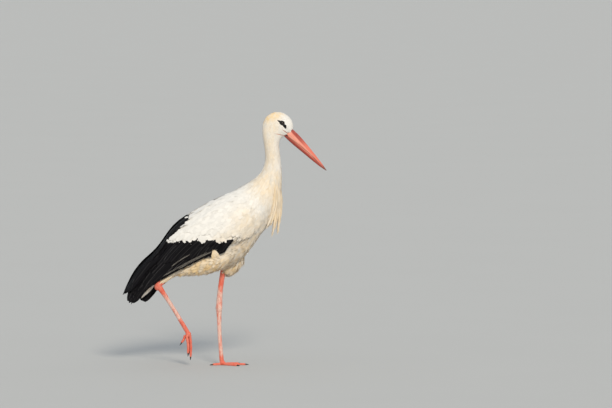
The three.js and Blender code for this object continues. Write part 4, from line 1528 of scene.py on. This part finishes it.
def make_tail():
    """The white tail feathers, shut in a narrow fan under the wings."""
    s = scene_settings()
    rng = np.random.default_rng([s.seed, 11])
    tree = outward_tree(("tail",))
    low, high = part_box("tail")
    grids = []
    for index in range(TAIL_COUNT):
        share = index / (TAIL_COUNT - 1) * 2 - 1
        side = 1 if share > 0 else -1
        out = abs(share)
        root = (TAIL_ROOT[0], out * 0.020, TAIL_ROOT[1] - out * 0.010)
        tip = (low[0] + 0.004, out * (high[1] - 0.010), low[2] + 0.012 + 0.006 * out)
        grids.append(quill(tree, side, root, tip, TAIL_WIDTH, TAIL_LIFT - TAIL_LIFT * out, TAIL_TILT))
    for side in SIDES.values():
        grids.append(quill(tree, side, *TAIL_EDGE, TAIL_EDGE_WIDTH, TAIL_LIFT, TAIL_TILT))
    tints = rng.random(len(grids))
    quill_piece("feathers_tail", grids, tints, coat_material(), "white_plumage", "tail")


# ---------------------------------------------------------------- plumes

# The bundles of plumes: their tips from the middle one outwards as [x, z], where the middle one starts, how
# far it bulges forwards and at which height, their distance across the breast, and their radii from the
# neck down.
PLUME_TIPS = (
    (0.196, 0.512), (0.192, 0.479), (0.186, 0.520), (0.181, 0.498), (0.172, 0.470), (0.164, 0.510),
    (0.152, 0.500),
)
PLUME_TOP = (0.200, 0.662)
PLUME_BULGE = 0.006
PLUME_MIDDLE = 0.580
PLUME_PITCH = 0.0056
PLUME_RADII = (0.0040, 0.0062, 0.0060, 0.0044, 0.0008)
PLUME_STARTS = (0.0, 0.66)  # between which shares of a bundle's length its plumes start
PLUME_SPANS = (0.36, 0.50)  # and how much of it they span
PLUME_ENDS = (0.9, 1.0)  # where the last ones end
PLUME_ROOT_DROP = 0.0012  # how much farther in their roots lie
PLUME_ASTRAY = 0.0016  # how far their tips stray
PLUME = ((0, 0.6), (0.2, 0.9), (0.45, 1), (0.7, 0.8), (0.88, 0.45), (1, 0.1))


def bundle_line(bundle, shares):
    """Places on the middle line of one bundle of plumes, from the neck to its tip. Outer bundles start a
    little farther back and bulge less, and all of them draw together downwards."""
    out = abs(bundle)
    y = bundle * PLUME_PITCH
    tip_x, tip_z = PLUME_TIPS[out]
    start = np.array((PLUME_TOP[0] - 0.00045 * out * out, y * 1.1, PLUME_TOP[1]))
    middle_x = (PLUME_TOP[0] + tip_x) / 2 + PLUME_BULGE - 0.0007 * out
    middle = np.array((middle_x, y, PLUME_MIDDLE))
    end = np.array((tip_x, y * 0.8, tip_z))
    bend = 2 * middle - (start + end) / 2
    t = shares[:, None]
    return (1 - t) ** 2 * start + 2 * t * (1 - t) * bend + t**2 * end


def make_plumes():
    """The long narrow feathers that hang from the front of the breast, in pointed bundles."""
    s = scene_settings()
    rng = np.random.default_rng([s.seed, 12])
    last = len(PLUME_TIPS) - 1
    parts = []
    count = s.plumes
    for bundle in range(-last, last + 1):
        start = rng.uniform(*PLUME_STARTS, count)
        end = np.minimum(start + rng.uniform(*PLUME_SPANS, count), rng.uniform(*PLUME_ENDS, count))
        turn = rng.uniform(-math.pi, math.pi, count)
        outward = np.stack((np.cos(turn), np.sin(turn), np.zeros(count)), axis=-1)
        rows = []
        for share in (start, (start + end) / 2, end):
            radius = np.interp(share, np.linspace(0, 1, len(PLUME_RADII)), PLUME_RADII)
            rows.append(bundle_line(bundle, share) + outward * radius[:, None])
        rows[0] -= outward * PLUME_ROOT_DROP
        rows[2] += rng.normal(0, PLUME_ASTRAY, (count, 3)) * (1, 1, 0)
        width = s.plume_width * rng.uniform(*TUFT_SPREAD, count)
        parts.append((*rows, outward, width))
    *lines, outward, widths = (np.concatenate(column) for column in zip(*parts))
    loose_tufts("coat_plumes", rng, lines, outward, widths, PLUME, "breast_plumes")


# ---------------------------------------------------------------- bill, eyes, claws

BILL_ROUNDS = 8  # of smoothing
GROOVE_HEIGHT = (0.0290, 0.025)  # how far above the bill's axis it starts, and how much it falls along it
GROOVE_WIDTH = 0.0016
GROOVE_DEPTH = 0.0007
GROOVE_START = (0.03, 0.04)  # as a share of the bill's length, and over how much more it deepens
GROOVE_END = (0.55, 0.35)  # where it has run out, and over how much less it does
NOSTRIL_AT = 0.14  # as a share of the bill's length
NOSTRIL_SIZE = (0.035, 0.0012)  # along as a share of that length, and across
NOSTRIL_DEPTH = 0.0016


def carve_groove(mesh):
    """Sinks the groove along the sides of the bill's upper half, and the nostrils in it."""
    places, normals = coordinates(mesh)
    axis = np.array((BILL_TIP[0] - BILL_GAPE[0], 0, BILL_TIP[1] - BILL_GAPE[1]))
    length = np.linalg.norm(axis)
    axis = axis / length
    up = np.array((-axis[2], 0, axis[0]))
    offset = places - np.array((BILL_GAPE[0], 0, BILL_GAPE[1]))
    along, above = offset @ axis / length, offset @ up
    off_line = above - (GROOVE_HEIGHT[0] - GROOVE_HEIGHT[1] * along)
    groove = np.exp(-((off_line / GROOVE_WIDTH) ** 2))
    groove = groove * np.clip((GROOVE_END[0] - along) / GROOVE_END[1], 0, 1)
    groove *= np.clip((along - GROOVE_START[0]) / GROOVE_START[1], 0, 1)
    from_nostril = (along - NOSTRIL_AT) / NOSTRIL_SIZE[0]
    nostril = np.exp(-((off_line / NOSTRIL_SIZE[1]) ** 2) - (from_nostril**2))
    sunk = GROOVE_DEPTH * groove + NOSTRIL_DEPTH * nostril
    place_vertices(mesh, places - normals * sunk[:, None])


def make_bill(part):
    """One half of the bill, with the groove that holds the nostril on the upper one."""
    mesh = refined(part, (part,), scene_settings().bill_voxel, BILL_ROUNDS)
    if part == "bill_upper":
        carve_groove(mesh)
    mesh.shade_smooth()
    piece = link(part + "_horn", mesh)
    piece.data.materials.append(bill_material())
    deliver(piece, "bill", part)


def make_eye(side):
    """An eyeball that sits in the head up to its lids."""
    low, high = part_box(f"eye_{side}")
    radius = (high[2] - low[2]) / 2
    bm = bmesh.new()
    turned = Matrix.Rotation(math.radians(90), 4, "X")
    bmesh.ops.create_uvsphere(bm, u_segments=48, v_segments=32, radius=radius, matrix=turned)
    bmesh.ops.translate(bm, verts=bm.verts, vec=eye_centre(side))
    mesh = bpy.data.meshes.new(f"eyeball_{side}")
    bm.to_mesh(mesh)
    bm.free()
    mesh.shade_smooth()
    piece = link(f"eyeball_{side}", mesh)
    piece.data.materials.append(eye_material())
    deliver(piece, "eye", f"eye_{side}")


CLAW_ROUNDS = 5  # of smoothing


def make_claws(side):
    """The four claws of a foot, each smooth and blunt from walking."""
    nodes = tuple(f"claw_{side}_{toe}" for toe in TOES)
    mesh = refined(f"claws_{side}", nodes, scene_settings().claw_voxel, CLAW_ROUNDS)
    mesh.shade_smooth()
    piece = link(f"claws_{side}", mesh)
    piece.data.materials.append(claw_material())
    deliver(piece, "claw", *nodes)


# ---------------------------------------------------------------- stage

FLOOR_HALF = 120.0
FLOOR_CLOUD = 1.03  # how much lighter the floor is in places
VIEW_WIDTH = 2.2338  # how much the camera's view spans at the bird
VIEW_CENTRE = (0.2965, 0.0, 0.5913)
SENSOR_WIDTH = 36.0  # in millimetres


def make_stage():
    """A pale floor, soft light and the camera at the walker's side."""
    s = scene_settings()
    scene = bpy.context.scene
    bm = bmesh.new()
    bmesh.ops.create_grid(bm, x_segments=1, y_segments=1, size=FLOOR_HALF)
    mesh = bpy.data.meshes.new("floor")
    bm.to_mesh(mesh)
    bm.free()
    floor = link("floor", mesh)
    material, tree, shader = new_material("pale floor")
    cloud = noise(tree, object_position(tree), 1.5)
    light = tuple(min(1.0, c * FLOOR_CLOUD) for c in s.floor)
    tree.links.new(between(tree, cloud, rgba(s.floor), rgba(light)), shader.inputs["Base Color"])
    shader.inputs["Roughness"].default_value = 0.9
    mesh.materials.append(material)

    world = bpy.data.worlds.new("studio")
    world.use_nodes = True
    background = world.node_tree.nodes["Background"]
    background.inputs["Color"].default_value = rgba(s.ambient)
    background.inputs["Strength"].default_value = s.ambient_strength
    scene.world = world

    sun = bpy.data.lights.new("key", "SUN")
    sun.energy = s.key_strength
    sun.color = s.key_colour
    sun.angle = math.radians(s.key_softness)
    key = bpy.data.objects.new("key", sun)
    key.rotation_euler = (math.radians(90 - s.key_height), 0, math.radians(s.key_side))
    scene.collection.objects.link(key)

    camera = bpy.data.cameras.new("camera")
    camera.sensor_width = SENSOR_WIDTH
    camera.lens = SENSOR_WIDTH * s.camera_distance / VIEW_WIDTH
    camera.clip_end = 500
    viewer = bpy.data.objects.new("camera", camera)
    tilt = math.radians(s.camera_height)
    aim = Vector(VIEW_CENTRE)
    viewer.location = aim + s.camera_distance * Vector((0, -math.cos(tilt), math.sin(tilt)))
    viewer.rotation_euler = (math.radians(90) - tilt, 0, 0)
    scene.collection.objects.link(viewer)
    scene.camera = viewer
    scene.view_settings.view_transform = "Standard"


# ---------------------------------------------------------------- settings


def colour_setting(name, description, default):
    """A colour of the settings."""
    return FloatVectorProperty(
        name=name, description=description, default=default, subtype="COLOR", min=0, max=1
    )


class StorkSettings(bpy.types.PropertyGroup):
    """Sizes and colours of the stork."""

    seed: IntProperty(name="Seed", description="Start of all random draws", default=7)
    skin_voxel: FloatProperty(
        name="Skin detail", description="Edge of the skin's quads", default=0.0031, unit="LENGTH"
    )
    leg_voxel: FloatProperty(
        name="Leg detail", description="Edge of the leg skin's quads", default=0.0014, unit="LENGTH"
    )
    bill_voxel: FloatProperty(
        name="Bill detail", description="Edge of the bill's quads", default=0.0008, unit="LENGTH"
    )
    claw_voxel: FloatProperty(
        name="Claw detail", description="Edge of the claws' quads", default=0.0005, unit="LENGTH"
    )
    coat_depth: FloatProperty(name="Coat depth", description="Share of the usual depth", default=1.0)
    coat_length: FloatProperty(name="Feather length", description="Share of the usual length", default=1.0)
    blade_share: FloatProperty(
        name="Narrow feathers", description="Width over length up to which a tuft is split", default=0.36
    )
    plumes: IntProperty(name="Plumes", description="How many there are in each bundle", default=150)
    plume_width: FloatProperty(
        name="Plume width", description="Width of one plume", default=0.0040, unit="LENGTH"
    )
    silver_share: FloatProperty(name="Silver", description="Strength of the silvery webs", default=0.8)
    white: colour_setting("White", "Clean feathers", (0.83, 0.80, 0.75))
    # This colour also paints the shade under the belly and on the crown.
    stain_and_shade: colour_setting("StainAndShade", "Feathers stained by mud and preening", (0.84, 0.60, 0.29))
    black: colour_setting("Black", "Flight feathers", (0.0045, 0.0042, 0.0045))
    # A painted sheen: the lighter patches of the black.
    black_gloss: colour_setting("Gloss", "Glossy parts of them", (0.010, 0.009, 0.012))
    pale_web: colour_setting("Pale web", "Edges of the lowest feathers", (0.50, 0.46, 0.40))
    silver: colour_setting("Silver web", "Outer webs and shafts", (0.16, 0.15, 0.15))
    bare_black: colour_setting("Bare black", "Skin round the eye", (0.004, 0.004, 0.004))
    gape: colour_setting("Gape", "Skin along the mouth and throat", (0.52, 0.17, 0.08))
    bill: colour_setting("Bill", "Horn of the bill", (0.70, 0.17, 0.11))
    # A painted highlight along the upper side of the bill.
    bill_highlight: colour_setting("Bill, pale", "Worn horn along the ridge", (0.86, 0.44, 0.33))
    # Along the lower edge of the bill this colour is painted shade.
    bill_dark: colour_setting("Bill, dark", "Lower edge and base", (0.33, 0.04, 0.025))
    bill_tip: colour_setting("Bill tip", "Tip of the bill", (0.16, 0.05, 0.025))
    leg: colour_setting("Leg", "Red skin of the legs", (0.82, 0.13, 0.07))
    leg_light: colour_setting("Leg, light", "Lighter red", (0.86, 0.24, 0.165))
    leg_dark: colour_setting("Leg, dark", "Between the scales", (0.40, 0.10, 0.07))
    wash: colour_setting("Wash", "Whitish wash of the legs", (0.84, 0.66, 0.56))
    claw: colour_setting("Claw", "Claw horn", (0.012, 0.010, 0.009))
    claw_worn: colour_setting("Claw, worn", "Worn claw horn", (0.06, 0.045, 0.035))
    pupil: colour_setting("Pupil", "Pupil and rim", (0.003, 0.003, 0.003))
    iris: colour_setting("Iris", "Iris", (0.022, 0.012, 0.008))
    iris_light: colour_setting("Iris, light", "Flecks of the iris", (0.050, 0.028, 0.016))
    floor: colour_setting("Floor", "Floor", (0.48, 0.48, 0.47))
    ambient: colour_setting("Ambient", "Light from all round", (0.88, 0.94, 1.0))
    ambient_strength: FloatProperty(name="Ambient strength", description="Its strength", default=0.68)
    key_colour: colour_setting("Key light", "Colour of the key light", (1.0, 0.92, 0.79))
    key_strength: FloatProperty(name="Key strength", description="Strength of the key light", default=2.3)
    key_softness: FloatProperty(name="Key softness", description="Width in degrees", default=14.0)
    key_height: FloatProperty(name="Key height", description="Degrees above the floor", default=31.0)
    key_side: FloatProperty(name="Key side", description="Degrees to the right of the camera", default=12.0)
    camera_distance: FloatProperty(
        name="Camera distance", description="From the bird", default=17.0, unit="LENGTH"
    )
    camera_height: FloatProperty(
        name="Camera height", description="Degrees that the camera looks down", default=3.7
    )


# ---------------------------------------------------------------- operators


class STORK_OT_stage(bpy.types.Operator):
    """Set the floor, the light and the camera"""

    bl_idname = "stork.stage"
    bl_label = "Stage"
    bl_options = {"REGISTER", "UNDO"}

    def execute(self, context):
        make_stage()
        return {"FINISHED"}


class STORK_OT_skin(bpy.types.Operator):
    """Make the one skin of body and legs"""

    bl_idname = "stork.skin"
    bl_label = "Skin"
    bl_options = {"REGISTER", "UNDO"}

    def execute(self, context):
        make_skin()
        return {"FINISHED"}


class STORK_OT_coat(bpy.types.Operator):
    """Grow the white body feathers"""

    bl_idname = "stork.coat"
    bl_label = "Coat"
    bl_options = {"REGISTER", "UNDO"}

    def execute(self, context):
        for name in COAT_PIECES:
            make_coat(name)
        make_cuff()
        for side in SIDES:
            make_flap(side)
        return {"FINISHED"}


class STORK_OT_wings(bpy.types.Operator):
    """Lay the black flight feathers on both wings"""

    bl_idname = "stork.wings"
    bl_label = "Flight feathers"
    bl_options = {"REGISTER", "UNDO"}

    def execute(self, context):
        for side in SIDES:
            for row in FLIGHT_ROWS:
                make_flight(side, row)
        return {"FINISHED"}


class STORK_OT_tail(bpy.types.Operator):
    """Lay the white tail feathers"""

    bl_idname = "stork.tail"
    bl_label = "Tail"
    bl_options = {"REGISTER", "UNDO"}

    def execute(self, context):
        make_tail()
        return {"FINISHED"}


class STORK_OT_plumes(bpy.types.Operator):
    """Hang the plumes from the breast"""

    bl_idname = "stork.plumes"
    bl_label = "Breast plumes"
    bl_options = {"REGISTER", "UNDO"}

    def execute(self, context):
        make_plumes()
        return {"FINISHED"}


class STORK_OT_bill(bpy.types.Operator):
    """Make both halves of the bill"""

    bl_idname = "stork.bill"
    bl_label = "Bill"
    bl_options = {"REGISTER", "UNDO"}

    def execute(self, context):
        for part in BILL_NODES:
            make_bill(part)
        return {"FINISHED"}


class STORK_OT_eyes(bpy.types.Operator):
    """Set the eyes"""

    bl_idname = "stork.eyes"
    bl_label = "Eyes"
    bl_options = {"REGISTER", "UNDO"}

    def execute(self, context):
        for side in SIDES:
            make_eye(side)
        return {"FINISHED"}


class STORK_OT_claws(bpy.types.Operator):
    """Make the claws of both feet"""

    bl_idname = "stork.claws"
    bl_label = "Claws"
    bl_options = {"REGISTER", "UNDO"}

    def execute(self, context):
        for side in SIDES:
            make_claws(side)
        return {"FINISHED"}


OPERATORS = (
    STORK_OT_stage, STORK_OT_skin, STORK_OT_coat, STORK_OT_wings, STORK_OT_tail, STORK_OT_plumes,
    STORK_OT_bill, STORK_OT_eyes, STORK_OT_claws,
)


class STORK_PT_panel(bpy.types.Panel):
    """The stork's settings and steps"""

    bl_idname = "STORK_PT_panel"
    bl_label = "White stork"
    bl_space_type = "VIEW_3D"
    bl_region_type = "UI"
    bl_category = "Stork"

    def draw(self, context):
        layout = self.layout
        for name in StorkSettings.__annotations__:
            layout.prop(context.scene.stork, name)
        for operator in OPERATORS:
            layout.operator(operator.bl_idname)


CLASSES = (StorkSettings, *OPERATORS, STORK_PT_panel)


def register():
    for cls in CLASSES:
        bpy.utils.register_class(cls)
    bpy.types.Scene.stork = PointerProperty(type=StorkSettings)


def unregister():
    del bpy.types.Scene.stork
    for cls in reversed(CLASSES):
        bpy.utils.unregister_class(cls)


def main():
    """Registers the add-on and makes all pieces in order."""
    register()
    bpy.ops.stork.stage()
    bpy.ops.stork.skin()
    bpy.ops.stork.coat()
    bpy.ops.stork.wings()
    bpy.ops.stork.tail()
    bpy.ops.stork.plumes()
    bpy.ops.stork.bill()
    bpy.ops.stork.eyes()
    bpy.ops.stork.claws()


if __name__ == "__main__":
    main()
